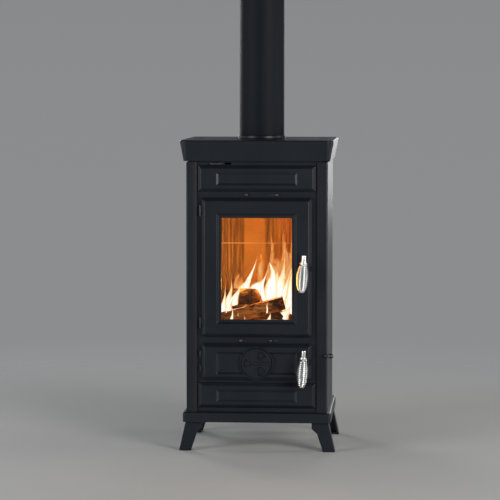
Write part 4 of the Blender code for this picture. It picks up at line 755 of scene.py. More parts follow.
def knuckles(prefix, body):
    """The door's hinge halves: a rolled knuckle on each pin with a web to the door's edge."""
    for place in ("lower", "upper"):
        low, high = span(f"{prefix}_hinge_{place}_pin")
        lug = (high[2] - low[2] - 2.1 * MM) / 2
        start = low[2] + lug + FIT
        wall = [(KNUCKLE_BORE, 0.0), (KNUCKLE_RADIUS, 0.0), (KNUCKLE_RADIUS, lug), (KNUCKLE_BORE, lug)]
        barrel = turned(f"{prefix}_knuckle_{place}", fillet(wall, 0.3 * MM, closed=True),
                        (HINGE_X, HINGE_Y, start), "cast_paint", steps=32, loop=True)
        settle(flats(barrel), body)
        web = block(f"{prefix}_knuckle_web_{place}",
                    (HINGE_X + 2.2 * MM, HINGE_Y - KNUCKLE_WEB_HALF, start),
                    (-DOOR_HALF + 1.5 * MM, HINGE_Y + KNUCKLE_WEB_HALF, start + lug), "cast_paint")
        settle(rounded_edges(web, 0.3 * MM, 2), body)


def make_fire_door():
    """Rings from the rope groove round the chamfered edge, then down the window recess to its pocket."""
    low, high = DOOR_LOW[2], DOOR_HIGH[2]
    floor = DOOR_FRONT + RECESS_DEPTH
    seat = floor + LIP_THICKNESS
    window = [
        (DOOR_FRONT, -LAND), (DOOR_FRONT, 0.0), (floor, RECESS_SLOPE), (floor, WINDOW_LIP),
        (seat, WINDOW_LIP), (seat, POCKET_INSET), (DOOR_BACK, POCKET_INSET), (DOOR_BACK, POCKET_INSET - LAND),
    ]
    inside = upright_rings(DOOR_HALF - WINDOW_SIDE, low + WINDOW_BOTTOM, high - WINDOW_TOP,
                           settings().window_radius, fillet(window, 0.7 * MM))
    rings = np.concatenate([door_outside(low, high), inside])
    door = surface("fire_door_casting", rings, "cast_paint", loop=True)
    carve(door, *door_cutters(low, handle_height("fire"), FIRE_NOTCH_RISE))
    settle(flats(door), "fire_door", "fire_door")
    knuckles("fire", "fire_door")


def closed_tube(name, path, radius, sides, finish_name):
    """A rope round a closed flat path: each ring is the path point plus radius times (cos a n + sin a y).

    n lies in the path's plane, square to the path; the radius may vary along the path.
    """
    ahead = np.roll(path, -1, axis=0) - np.roll(path, 1, axis=0)
    ahead /= np.linalg.norm(ahead, axis=1, keepdims=True)
    normal = np.cross(ahead, [0.0, 1.0, 0.0])
    angle = np.linspace(0.0, 2 * np.pi, sides, endpoint=False)
    ring = (np.cos(angle)[None, :, None] * normal[:, None]
            + np.sin(angle)[None, :, None] * np.array([0.0, 1.0, 0.0]))
    return surface(name, path[:, None] + np.reshape(radius, (-1, 1, 1)) * ring, finish_name, loop=True)


def even_steps(path, step):
    """A closed path walked in even steps, by its arc length."""
    closed = np.concatenate([path, path[:1]])
    reach = np.concatenate([[0.0], np.cumsum(np.linalg.norm(np.diff(closed, axis=0), axis=1))])
    marks = np.linspace(0.0, reach[-1], int(reach[-1] / step), endpoint=False)
    return np.column_stack([np.interp(marks, reach, closed[:, axis]) for axis in range(3)])


TAPE_WIDTH = 5.0 * MM


def make_seals():
    """Rope seals with a braid's swell along them, the window's tape gasket, its steel retainer and screws."""
    for prefix, low, high in (("fire", DOOR_LOW[2], DOOR_HIGH[2]), ("ash", ASH_LOW[2], ASH_HIGH[2])):
        middle_line = upright_rings(DOOR_HALF, low, high, DOOR_CORNER,
                                    [(DOOR_BACK - ROPE_RADIUS, ROPE_INSET)])[0]
        path = even_steps(middle_line, 1.3 * MM)
        swell = ROPE_RADIUS * (0.955 + 0.045 * np.sin(np.arange(len(path)) * 2 * np.pi / 3.0))
        rope = closed_tube(f"{prefix}_rope_braid", path, swell, 12, "rope_seal")
        settle(rope, f"{prefix}_door", f"{prefix}_door_rope")
    low, high = span("window_gasket")
    section = [(low[1], 0.0), (low[1], TAPE_WIDTH), (high[1], TAPE_WIDTH), (high[1], 0.0)]
    rings = upright_rings(high[0], low[2], high[2], 3 * MM, fillet(section, 0.5 * MM, closed=True))
    tape = surface("window_tape", rings, "rope_seal", loop=True)
    settle(flats(tape), "fire_door", "window_gasket")
    recut("glass_retainer", "steel", "fire_door", 0.3 * MM)
    low, high = span("glass_retainer")
    middle = (low[2] + high[2]) / 2
    places = [(side * (high[0] - 5 * MM), middle + rise * 110 * MM) for side in (-1, 1) for rise in (-1, 1)]
    head = fillet([(0.0, -2.0 * MM), (2.6 * MM, -1.5 * MM), (3.0 * MM, 0.0), (0.0, 0.0)], 0.5 * MM)
    for number, (x, z) in enumerate(places):
        screw = turned(f"retainer_screw_{number}", head, (x, high[1], z), "steel", "front", 24)
        settle(flats(screw), "fire_door")
    glass = recut("fire_glass", "ceramic_glass", "fire_door", 0.4 * MM)
    glass.name = "window_glass"


BOSS_RADIUS = 45.4 * MM
BOSS_RIM = 3.2 * MM
BOSS_SUNK = 0.8 * MM
PETALS = 3
PETAL_INNER = 13.0 * MM
PETAL_OUTER = 34.5 * MM
PETAL_HALF_ANGLE = math.radians(21.0)
BOLT_RADIUS = 3.0 * MM
BOLT_HEAD = 3.5 * MM
DISC_CENTRE = np.array([0.0, DISC_HIGH[1], (DISC_LOW[2] + DISC_HIGH[2]) / 2])
DISC_RADIUS = DISC_HIGH[0]
LUG_START = 7.5 * MM
LUG_HALF = 3.25 * MM


def petals(start):
    """Cutters for the ring of air holes: sectors between two radii with their outer corners drawn in."""
    corner = PETAL_OUTER * 0.93
    radii = np.array([PETAL_INNER] * 3 + [corner] + [PETAL_OUTER] * 3 + [corner])
    shares = np.array([-1.0, 0.0, 1.0, 1.0, 0.72, 0.0, -0.72, -1.0]) * PETAL_HALF_ANGLE
    cutters = []
    for i in range(PETALS):
        angle = start + i * 2 * np.pi / PETALS
        flat = fillet(np.column_stack([radii * np.cos(angle + shares), radii * np.sin(angle + shares)]),
                      3 * MM, 4, closed=True)
        rings = [np.column_stack([flat[:, 0], np.full(len(flat), y), flat[:, 1]]) + DISC_CENTRE
                 for y in (-30 * MM, 30 * MM)]
        cutters.append(surface("cutter", np.array(rings), "steel"))
    return cutters


def make_ash_door():
    """Rings over the chamfered edge and down the sunk panel, with the air disc's turned boss across it."""
    low, high = ASH_LOW[2], ASH_HIGH[2]
    floor = DOOR_FRONT + RECESS_DEPTH
    panel = [(DOOR_FRONT, -LAND), (DOOR_FRONT, 0.0), (floor, RECESS_SLOPE), (floor, RECESS_SLOPE + LAND)]
    inside = upright_rings(DOOR_HALF - ASH_SIDE, low + ASH_BOTTOM, high - ASH_TOP, 3 * MM,
                           fillet(panel, 0.9 * MM))
    door = surface("ash_door_casting", np.concatenate([door_outside(low, high), inside]), "cast_paint")
    carve(door, *door_cutters(low, handle_height("ash"), ASH_NOTCH_RISE), *petals(0.0))
    settle(flats(door), "ash_door", "ash_door")
    face = DISC_CENTRE[1] - ASH_LOW[1]
    profile = fillet([
        (0.0, -8 * MM), (BOSS_RADIUS, -8 * MM), (BOSS_RADIUS, face), (BOSS_RADIUS - BOSS_RIM, face),
        (BOSS_RADIUS - 4.6 * MM, face - BOSS_SUNK), (0.0, face - BOSS_SUNK)], 0.8 * MM)
    boss = turned("ash_door_boss", profile, DISC_CENTRE, "cast_paint", "front", 96)
    carve(boss, *petals(0.0))
    settle(flats(boss), "ash_door")
    knuckles("ash", "ash_door")


def make_rosette():
    """The turning disc with its three air holes and finger lug, on a screw painted like the castings."""
    front = DISC_HIGH[1] - (DISC_LOW[1] + 3 * MM)
    bore = BOLT_RADIUS + FIT
    section = [(bore, 0.0), (DISC_RADIUS, 0.0), (DISC_RADIUS, front), (bore, front)]
    disc = turned("air_disc", fillet(section, 0.7 * MM, closed=True), DISC_CENTRE, "cast_paint", "front", 128,
                  loop=True)
    carve(disc, *petals(np.pi / 3))
    settle(flats(disc), "rosette", "air_rosette")
    finger = block("air_disc_lug", (LUG_START, DISC_LOW[1], DISC_CENTRE[2] - LUG_HALF),
                   (DISC_RADIUS - 1 * MM, DISC_LOW[1] + 3.5 * MM, DISC_CENTRE[2] + LUG_HALF), "cast_paint")
    settle(rounded_edges(finger, 0.9 * MM), "rosette")
    low, high = span("rosette_bolt")
    head = high[0]
    length = high[1] - low[1]
    profile = fillet([
        (0.0, 0.0), (head * 0.72, 0.2 * MM), (head, -1.4 * MM), (head, -BOLT_HEAD), (BOLT_RADIUS, -BOLT_HEAD),
        (BOLT_RADIUS, -length), (0.0, -length)], 0.5 * MM)
    place = (DISC_CENTRE[0], low[1], DISC_CENTRE[2])
    bolt = turned("rosette_screw", profile, place, "cast_paint", "front", 48)
    settle(flats(bolt), "ash_door", "rosette_bolt")


def make_trims():
    """Cast trim panels: rings over a chamfered edge, then down the slope of a long sunk rectangle."""
    for name in ("lower_trim_panel", "upper_trim_panel"):
        low, high = span(name)
        front = low[1]
        floor = front + TRIM_RECESS_DEPTH
        edge = [(high[1], 0.0), (front + TRIM_CHAMFER_DEPTH, 0.0), (front, TRIM_CHAMFER),
                (front, TRIM_CHAMFER + LAND)]
        slope = [(front, -LAND), (front, 0.0), (floor, TRIM_SLOPE), (floor, TRIM_SLOPE + LAND)]
        outside = upright_rings(high[0], low[2], high[2], 1.6 * MM, fillet(edge, 0.9 * MM))
        panel = upright_rings(high[0] - TRIM_SIDE, low[2] + TRIM_BOTTOM, high[2] - TRIM_TOP, 2.5 * MM,
                              fillet(slope, 0.9 * MM))
        made = surface(name + "_casting", np.concatenate([outside, panel]), "cast_paint")
        settle(flats(made), "root", name)


# Handles

NECK_RADIUS = 6.25 * MM
NECK_LENGTH = 18.6 * MM
COLLAR_RADIUS = 10.0 * MM
COLLAR_LENGTH = 6.0 * MM
CORE_RADIUS = 3.8 * MM
COIL_LENGTH = 73.0 * MM
COIL_TURNS = 13
WIRE_RADIUS = 2.2 * MM
COIL_RADIUS = 16.0 * MM
COIL_WIDEST = 0.42
COIL_TOP_RADIUS = 10.0 * MM
COIL_END_RADIUS = 8.8 * MM
COIL_END_GAP = 1.15 * WIRE_RADIUS
COIL_STEPS = 40
BUTTON_RADIUS = 8.0 * MM
BUTTON_LENGTH = 3.5 * MM
HANDLE_TILT = math.radians(3.6)


def coil_path():
    """The wire's middle line: radius(share) from the collar out to the widest turn and in to the button.

    The radius grows as a quarter sine, then closes as a quarter ellipse; angle and drop are even in share.
    """
    share = np.linspace(0.0, 1.0, COIL_TURNS * COIL_STEPS + 1)
    top, end = COIL_TOP_RADIUS - WIRE_RADIUS, COIL_END_RADIUS - WIRE_RADIUS
    widest = COIL_RADIUS - WIRE_RADIUS
    rise = np.sin(np.pi / 2 * np.clip(share / COIL_WIDEST, 0.0, 1.0))
    fall = np.clip((share - COIL_WIDEST) / (1.0 - COIL_WIDEST), 0.0, 1.0)
    radius = np.where(share < COIL_WIDEST, top + (widest - top) * rise,
                      end + (widest - end) * np.sqrt(np.maximum(1.0 - fall ** 2, 0.0)))
    angle = share * COIL_TURNS * 2 * np.pi
    drop = -COIL_END_GAP - share * (COIL_LENGTH - 2 * COIL_END_GAP)
    turns = np.column_stack([radius * np.cos(angle), radius * np.sin(angle), drop])
    lead = turns[0] * [1.0, 1.0, 0.0]
    tail = turns[-1] * [1.0, 1.0, 0.0] + [0.0, 0.0, -COIL_LENGTH]
    return np.concatenate([[lead], turns, [tail]])


def make_handles():
    """A turned chrome neck, collar, core and button, with the unbroken wire coil round the core."""
    for prefix in ("fire", "ash"):
        place = np.array([HANDLE_X, HANDLE_Y, handle_height(prefix)])
        half = NECK_LENGTH / 2
        collar = -half - COLLAR_LENGTH
        button = collar - FIT - COIL_LENGTH - FIT
        profile = fillet([
            (0.0, half), (NECK_RADIUS * 0.86, half), (NECK_RADIUS, half - 1.5 * MM), (NECK_RADIUS, -half),
            (COLLAR_RADIUS - 1 * MM, -half), (COLLAR_RADIUS, -half - 1 * MM),
            (COLLAR_RADIUS, collar + 1 * MM), (COLLAR_RADIUS - 1 * MM, collar),
            (CORE_RADIUS, collar), (CORE_RADIUS, button), (BUTTON_RADIUS, button),
            (BUTTON_RADIUS * 0.85, button - BUTTON_LENGTH * 0.6),
            (BUTTON_RADIUS * 0.4, button - BUTTON_LENGTH), (0.0, button - BUTTON_LENGTH)], 0.7 * MM)
        core = turned(f"{prefix}_handle_grip_core", profile, place, "chrome", steps=48, tilt=HANDLE_TILT)
        settle(flats(core), f"{prefix}_handle", f"{prefix}_handle_core")
        path = coil_path() + [0.0, 0.0, collar - FIT]
        outward = path * [1.0, 1.0, 0.0]
        coil = tube(f"{prefix}_handle_grip_coil", tilted(path, HANDLE_TILT) + place, WIRE_RADIUS, 12,
                    "chrome", tilted(outward, HANDLE_TILT))
        settle(coil, f"{prefix}_handle", f"{prefix}_handle_coil")
        recut(f"{prefix}_latch_shaft", "steel", f"{prefix}_handle", 0.2 * MM)
        recut(f"{prefix}_keeper", "steel", "root", 0.3 * MM)
        for end in ("lower", "upper"):
            recut(f"{prefix}_hinge_{end}_pin", "steel")


# Casing

POST_SHEET = 3.0 * MM
POST_ROUND = 4.6 * MM
ROD_RADIUS = 2.8 * MM
RIDDLE_X = 184.5 * MM
RIDDLE_CRANK = 30.0 * MM
LOUVRES = 6
LOUVRE_PITCH = 18.0 * MM
LOUVRE_MARGIN = 50.0 * MM
LOUVRE_RISE = 7.0 * MM
HOOD_HALF = 91.0 * MM
HOOD_DEPTH = 4.5 * MM
HOOD_HEIGHT = 3.2 * MM
HOOD_LIFT = 1.2 * MM
HOOD_ROWS, HOOD_COLUMNS = 17, 25
SCREW_INSET = 8.0 * MM
SCREW_FIRST = 30.0 * MM
SCREW_PITCH = 150.0 * MM


def make_posts():
    """Corner posts: an L-shaped plan whose outer corner is a rolled radius, drawn up the whole body."""
    for name, side in (("post_left", -1), ("post_right", 1)):
        low, high = span(name)
        outer, inner = max(abs(low[0]), abs(high[0])), min(abs(low[0]), abs(high[0]))
        plan = np.array([(inner, low[1]), (outer, low[1]), (outer, high[1]), (outer - POST_SHEET, high[1]),
                         (outer - POST_SHEET, DOOR_BACK), (inner, DOOR_BACK)])
        rolled = fillet(plan[:3], POST_ROUND, 10)
        plan = np.concatenate([rolled[:-1], fillet(np.concatenate([plan[2:], plan[:1]]), 0.5 * MM, 2)[:-1]])
        plan[:, 0] *= side
        rings = [np.column_stack([plan, np.full(len(plan), z)]) for z in (low[2], high[2])]
        post = surface(name + "_sheet", np.array(rings), "sheet_paint")
        if side > 0:
            knob_low, knob_high = span("riddling_knob")
            hole = (RIDDLE_X, low[1], (knob_low[2] + knob_high[2]) / 2)
            carve(post, round_cutter(hole, ROD_RADIUS + FIT, 60 * MM, "front"))
        settle(flats(post), "root", name)


def louvre_hood(name, z, back):
    """A pressed hood: point = (half t, back + depth swell sin a, z + height cos a), swell = 1 - |t| ** 8."""
    a = np.linspace(0.0, np.pi, HOOD_ROWS)[:, None]
    t = np.linspace(-1.0, 1.0, HOOD_COLUMNS)[None]
    swell = np.clip(1.0 - np.abs(t) ** 8, 0.0, 1.0) * HOOD_DEPTH
    across = np.broadcast_to(t * HOOD_HALF, (HOOD_ROWS, HOOD_COLUMNS))
    rise = z + HOOD_HEIGHT * np.cos(a) * np.ones_like(t) + HOOD_LIFT
    grid = np.stack([across, back + swell * np.sin(a), rise], axis=2)
    faces = grid_faces(HOOD_ROWS, HOOD_COLUMNS, round_rows=True, round_columns=False)
    return piece(name, grid, faces, "sheet_paint")


def make_sheets():
    """Side panels and the back cover, with pressed hoods over its louvres and screws along its seams."""
    for name in ("side_panel_left", "side_panel_right", "back_cover"):
        recut(name, "sheet_paint", "root", settings().sheet_radius)
    low, high = span("back_cover")
    back = high[1]
    first = low[2] + LOUVRE_MARGIN
    last = TOP_LOW[2] - 3 * MM - LOUVRE_MARGIN - LOUVRES * LOUVRE_PITCH
    for group, start in enumerate((first, last)):
        for i in range(LOUVRES):
            hood = louvre_hood(f"louvre_hood_{group}_{i}", start + i * LOUVRE_PITCH + LOUVRE_RISE, back)
            settle(hood, "root")
    # A screw head is turned towards the front, then mirrored in the back sheet's plane
    mirror = Matrix.Translation((0.0, 2 * back, 0.0)) @ Matrix.Diagonal((1.0, -1.0, 1.0, 1.0))
    head = fillet([(0.0, 1.8 * MM), (2.4 * MM, 1.5 * MM), (3.2 * MM, 0.0), (0.0, 0.0)], 0.4 * MM)
    screws = []
    for side in (-1, 1):
        for row in range(5):
            place = (side * (high[0] - SCREW_INSET), back, low[2] + SCREW_FIRST + row * SCREW_PITCH)
            screws.append(turned("screw", head, place, "sheet_paint", "front", 20))
            screws[-1].data.transform(mirror)
    settle(joined("back_screws", *screws), "root")


def make_front_frame():
    """The cast front plate keeps its shape, with softened edges."""
    recut("front_frame", "cast_paint", "root", 0.4 * MM)


# Base

QUARTER = np.linspace(0.0, np.pi / 2, 7)
PLINTH_WALL = 5.0 * MM
PLINTH_ROUND = 4.4 * MM
PLINTH_CORNER = 7.0 * MM


def make_plinth():
    """A shallow cast tray: flat rings from under its plate, round the wall and over the rounded top edge."""
    low, high = PLINTH_LOW, PLINTH_HIGH
    floor, shoulder = high[2] - PLINTH_WALL, high[2] - PLINTH_ROUND
    over = [(shoulder + PLINTH_ROUND * np.sin(a), -PLINTH_ROUND + PLINTH_ROUND * np.cos(a)) for a in QUARTER]
    wall = fillet([
        (floor, -PLINTH_WALL - LAND), (floor, -PLINTH_WALL), (low[2], -PLINTH_WALL), (low[2], 0.0),
        (shoulder, 0.0)], 1.0 * MM)
    rings = flat_rings(low[:2], high[:2], PLINTH_CORNER, np.concatenate([wall[:-1], over]))
    tray = surface("plinth_casting", rings, "cast_paint")
    settle(flats(tray), "root", "base_plinth")


LEG_HEIGHT = 80.0 * MM
LEG_DEPTH = 40.0 * MM
LEG_WALL = 6.0 * MM
LEG_FOOT = 32.5 * MM
LEG_SPREAD = 18.0 * MM
LEG_TOP_WIDTH = 45.5 * MM
LEG_INNER_SPREAD = 26.2 * MM
LEG_BRACKET = (0.62, 0.80)
LEG_BRACKET_DEPTH = 8.0 * MM
LEG_ROWS = 40
FLANGE = 6.0 * MM
FOOT_PAD = 4.8 * MM


def leg_level(share, side, facing, outer_top, near):
    """One plan section of an angle leg; share is 0 at the floor and 1 at the top.

    The outer face moves in by the spread times share. The inner edge follows a plain taper, and between the
    two bracket shares it crosses over to the wide top by a smooth step.
    """
    outer = outer_top + LEG_SPREAD * (1.0 - share)
    rise = np.clip((share - LEG_BRACKET[0]) / (LEG_BRACKET[1] - LEG_BRACKET[0]), 0.0, 1.0)
    bracket = rise - 0.12 * np.sin(2 * np.pi * rise) / np.pi
    plain = outer_top + LEG_SPREAD - LEG_FOOT - LEG_INNER_SPREAD * share
    inner = plain + (outer_top - LEG_TOP_WIDTH - plain) * bracket
    reach = LEG_DEPTH - LEG_BRACKET_DEPTH * (1.0 - bracket)
    xs = np.array([outer, inner, inner, outer - LEG_WALL, outer - LEG_WALL, outer])
    ys = np.array([0.0, 0.0, LEG_WALL, LEG_WALL, reach, reach])
    flat = fillet(np.column_stack([side * xs, near - facing * ys]), 1.6 * MM, 4, closed=True)
    return np.column_stack([flat, np.full(len(flat), LEG_HEIGHT * share)])


def make_legs():
    """Splayed angle legs: plan sections carried from floor to flange, with the flange and a foot pad."""
    for place, side in (("left", -1), ("right", 1)):
        for row, facing in (("front", -1), ("rear", 1)):
            name = f"leg_{row}_{place}"
            low, high = span(name)
            near = low[1] if facing < 0 else high[1]
            outer_top = max(abs(low[0]), abs(high[0])) - LEG_SPREAD
            shares = np.linspace(0.0, 1.0, LEG_ROWS)
            sections = [leg_level(share, side, facing, outer_top, near) for share in shares]
            leg = surface("leg", np.array(sections), "cast_paint")
            flange = rounded_slab(sections[-1], LEG_HEIGHT - FLANGE, LEG_HEIGHT)
            pad = rounded_slab(sections[0], 0.0, FOOT_PAD)
            whole = joined(name + "_casting", leg, flange, pad)
            settle(flats(whole), "root", name)


def rounded_slab(section, bottom, top):
    """A slab over a section's box, a little inside it, with rounded corners and edges."""
    inset = 0.4 * MM
    low, high = section[:, :2].min(axis=0) + inset, section[:, :2].max(axis=0) - inset
    rows = fillet([(bottom, -1.0 * MM), (bottom, 0.0), (top, 0.0), (top, -1.0 * MM)], 0.8 * MM)
    return surface("slab", flat_rings(low, high, 2.5 * MM, rows), "cast_paint")


# Top and flue

TOP_FLARE = 10.0 * MM
TOP_WALL = 6.0 * MM
TOP_EDGE = 4.0 * MM
TOP_CORNER = 10.0 * MM
VENT_ROWS = 7
VENT_PITCH = 18.0 * MM
VENT_LENGTH = 26.0 * MM
VENT_WIDTH = 6.0 * MM
VENT_INSET = 34.0 * MM
FLUE_HOLE = 61.7 * MM
PIPE_WALL = 2.0 * MM
COLLAR_WALL = 5.0 * MM


def make_top_plate():
    """The cast top: flat rings down the apron's inside, round its lip, up the flare and over the edge."""
    low, high = TOP_LOW, TOP_HIGH
    shoulder = high[2] - TOP_EDGE
    roof = high[2] - TOP_WALL
    inside = TOP_FLARE * ((roof - low[2]) / (shoulder - low[2])) - TOP_WALL
    over = [(shoulder + TOP_EDGE * np.sin(a), TOP_FLARE - TOP_EDGE + TOP_EDGE * np.cos(a)) for a in QUARTER]
    wall = fillet([
        (roof, inside - LAND), (roof, inside), (low[2], -TOP_WALL), (low[2], 0.0),
        (shoulder, TOP_FLARE)], 1.2 * MM)
    rings = flat_rings(low[:2] + TOP_FLARE, high[:2] - TOP_FLARE, TOP_CORNER,
                       np.concatenate([wall[:-1], over]))
    plate = surface("top_casting", rings, "cast_paint")
    rows = [(roof - TOP_WALL, 0.0), (high[2] + TOP_WALL, 0.0)]
    reach = np.array([VENT_LENGTH / 2, VENT_WIDTH / 2])
    vents = []
    for side in (-1, 1):
        for i in range(VENT_ROWS):
            y = FLUE_MIDDLE[1] + (i - (VENT_ROWS - 1) / 2) * VENT_PITCH
            place = np.array([side * (high[0] - VENT_INSET), y])
            slot = flat_rings(place - reach, place + reach, VENT_WIDTH * 0.45, rows)
            vents.append(surface("cutter", slot, "steel"))
    carve(plate, round_cutter((0.0, FLUE_MIDDLE[1], high[2]), FLUE_HOLE, 20 * MM, steps=96), *vents)
    settle(flats(plate), "root", "top_plate")


def make_flue():
    """The collar with its rim, and the pipe that stands on it: turned profiles that close on themselves."""
    middle = (0.0, FLUE_MIDDLE[1], 0.0)
    low, high = COLLAR_LOW[2], COLLAR_HIGH[2]
    rim_low, rim_high = TOP_HIGH[2] + FIT, PIPE_LOW[2] - FIT
    outer = PIPE_HIGH[0] - PIPE_WALL - FIT
    inner = outer - COLLAR_WALL
    rim = COLLAR_HIGH[0]
    section = fillet([
        (inner, high), (outer, high), (outer, rim_high), (rim, rim_high),
        (rim, rim_low), (outer, rim_low), (outer, low), (inner, low)], 1.2 * MM, closed=True)
    collar = turned("flue_collar_casting", section, middle, "cast_paint", steps=96, loop=True)
    settle(flats(collar), "root", "flue_collar")
    radius, bottom, top = PIPE_HIGH[0], PIPE_LOW[2], PIPE_HIGH[2]
    bore = radius - PIPE_WALL
    section = fillet([(bore, top), (radius, top), (radius, bottom), (bore, bottom)], 0.6 * MM, closed=True)
    pipe = turned("flue_pipe_rolled", section, middle, "pipe_enamel", steps=128, loop=True)
    settle(flats(pipe), "root", "flue_pipe")


# Controls

STUD_HEAD = 6.0 * MM
STUD_SHANK = 1.9 * MM


def make_controls():
    """Turned studs, flat slides, the lever and the riddling rod, all in blackened steel."""
    for prefix in ("upper", "lower"):
        recut(f"{prefix}_air_slide", "steel", f"{prefix}_air", 0.3 * MM)
        for place in ("left", "right"):
            node = f"{prefix}_air_stud_{place}"
            low, high = span(node)
            x, _, z = (low + high) / 2
            head = high[0] - x
            shank = high[1] - low[1] - STUD_HEAD
            profile = fillet([
                (0.0, STUD_HEAD), (head * 0.6, STUD_HEAD), (head * 0.92, STUD_HEAD * 0.8),
                (head, STUD_HEAD * 0.5), (head * 0.75, 0.0), (STUD_SHANK, 0.0), (STUD_SHANK, -shank),
                (0.0, -shank)], 0.7 * MM)
            stud = turned(node + "_turned", profile, (x, low[1] + STUD_HEAD, z), "steel", "front", 48)
            settle(flats(stud), f"{prefix}_air", node)
    recut("secondary_air_lever", "steel", "secondary_air", 0.6 * MM)
    rod_low, rod_high = span("riddling_rod")
    front = rod_low[1] + ROD_RADIUS
    knob_low, knob_high = span("riddling_knob")
    pull_z = (knob_low[2] + knob_high[2]) / 2
    cross_y, cross_z = rod_high[1] - ROD_RADIUS, rod_high[2] - ROD_RADIUS
    corners = [(rod_low[0], cross_y, cross_z), (RIDDLE_X, cross_y, cross_z),
               (RIDDLE_X, cross_y - RIDDLE_CRANK, pull_z), (RIDDLE_X, front, pull_z),
               (rod_high[0], front, pull_z)]
    path = fillet(corners, 5 * MM, 8)
    aside = np.broadcast_to([0.31, 0.22, 0.92], path.shape)
    rod = tube("riddling_pull", path, ROD_RADIUS, 24, "steel", aside)
    settle(flats(rod), "riddling", "riddling_rod")
    radius, length = knob_high[2] - pull_z, knob_high[0] - knob_low[0]
    profile = fillet([
        (0.0, length), (radius * 0.7, length), (radius, length * 0.75), (radius, length * 0.35),
        (radius * 0.6, 0.0), (0.0, 0.0)], 1.5 * MM, 6)
    knob = turned("riddling_grip", profile, (knob_low[0], front, pull_z), "steel", "right", 48)
    settle(flats(knob), "riddling", "riddling_knob")
    recut("shaker_grate", "raw_iron", "riddling", 0.5 * MM)


# Firebox, lining and fire

def make_firebox():
    """The firebox, hearth plate, log guard and ash pan keep their shapes, with worn edges."""
    for node, edge in (("firebox_shell", 0.8 * MM), ("hearth_plate", 0.8 * MM), ("log_guard", 0.0)):
        recut(node, "raw_iron", "root", edge)
    recut("ash_pan", "steel", "ash_pan", 0.25 * MM)


def make_lining():
    """The lining blocks keep their ribs, with worn edges; the baffle above them is the same board."""
    for course in ("lower", "upper"):
        for place in ("back", "left", "right"):
            recut(f"brick_{place}_{course}", "vermiculite", "root", 0.6 * MM)
    recut("baffle_plate", "vermiculite", "root", 0.0)


LOG_ROWS, LOG_SIDES = 40, 48
LOG_FRONT = HEARTH_LOW[1] + 14 * MM
LOGS = (
    ("log_round", (-92, 18, 100), (-11, -58, 108), 22, "log_bark", 0.0, 0.7),
    ("log_split", (-104, -84, 52), (68, -74, 98), 24, "split_wood", 0.55, 2.1),
    ("log_low_right", (24, -64, 50), (112, -18, 34), 24, "log_bark", 0.0, 4.0),
    ("log_low_back", (-85, -8, 46), (85, 52, 50), 28, "log_bark", 0.0, 5.2),
)
BED_ROWS, BED_COLUMNS = 70, 100
BED_HALF = 116.0 * MM
BED_RISE = 34.0 * MM
COAL_LUMP = 4.5 * MM


def log_piece(name, start, end, radius, finish_name, flat=0.0, seed=0.0):
    """A log between two points: ring radius times (1 + bark waves), flattened on its split side, ends domed.

    The bark waves are sums of sines of the angle and the way along; flat cuts the section at that share of
    the radius.
    """
    along = np.linspace(0.0, 1.0, LOG_ROWS)[:, None]
    angle = np.linspace(0.0, 2 * np.pi, LOG_SIDES, endpoint=False)[None]
    wave = (0.050 * np.sin(3 * angle + seed + 2.0 * along) + 0.030 * np.sin(7 * angle + 5 * along + 2 * seed)
            + 0.022 * np.sin(13 * angle - 9 * along + seed) + 0.012 * np.sin(23 * angle + 31 * along))
    size = radius * (1.0 + wave) * (1.0 - 0.10 * np.abs(2 * along - 1.0) ** 12)
    ahead = (end - start) / np.linalg.norm(end - start)
    side = np.cross(ahead, UP)
    side /= np.linalg.norm(side)
    up = np.cross(side, ahead)
    across, height = size * np.cos(angle), size * np.sin(angle)
    if flat:
        height = np.minimum(height, flat * radius + 0.004 * radius * np.sin(40 * along + 9 * angle))
        across = np.maximum(across, -flat * radius)
    grid = start + (end - start) * along[..., None] + side * across[..., None] + up * height[..., None]
    return surface(name, grid, finish_name)


def make_logs():
    """Logs from their ends (mm, heights above the hearth), radii, flats and seeds, on a bed of embers."""
    hearth = [0.0, 0.0, HEARTH_HIGH[2]]
    for name, start, end, radius, finish_name, flat, seed in LOGS:
        ends = [np.array(place) * MM + hearth for place in (start, end)]
        settle(log_piece(name, *ends, radius * MM, finish_name, flat, seed), "root")
    bed()


def bed():
    """Embers: a closed heap, its height a dome times (rise + coal lumps), the lumps products of sines."""
    back = LINING_FRONT - 4 * MM
    u, v = np.meshgrid(np.linspace(0.0, 1.0, BED_ROWS), np.linspace(0.0, 1.0, BED_COLUMNS), indexing="ij")
    x, y = v * 2 * BED_HALF - BED_HALF, LOG_FRONT + u * (back - LOG_FRONT)
    dome = (np.sin(np.pi * np.clip(u, 0.03, 0.97)) * np.sin(np.pi * np.clip(v, 0.03, 0.97))) ** 0.35
    lump = (np.sin(240 * x + 3 * np.sin(170 * y)) * np.sin(260 * y + 3 * np.sin(150 * x))
            + 0.6 * np.sin(520 * x + 2.0) * np.sin(480 * y + 1.0))
    z = HEARTH_HIGH[2] + 1 * MM + dome * (BED_RISE + COAL_LUMP * lump)
    upper = np.stack([x, y, z], axis=2)
    edge = np.concatenate([upper[0], upper[1:, -1], upper[-1, -2::-1], upper[-2:0:-1, 0]])
    foot = edge * [1.0, 1.0, 0.0] + [0.0, 0.0, HEARTH_HIGH[2] + 0.5 * MM]
    points = np.concatenate([upper.reshape(-1, 3), edge, foot])
    count, start = len(edge), BED_ROWS * BED_COLUMNS
    faces = grid_faces(BED_ROWS, BED_COLUMNS, round_columns=False)
    faces += [[start + i, start + (i + 1) % count, start + count + (i + 1) % count, start + count + i]
              for i in range(count)]
    faces.append(list(range(start + count, start + 2 * count)))
    settle(piece("ember_bed", points, faces, "embers"), "root")


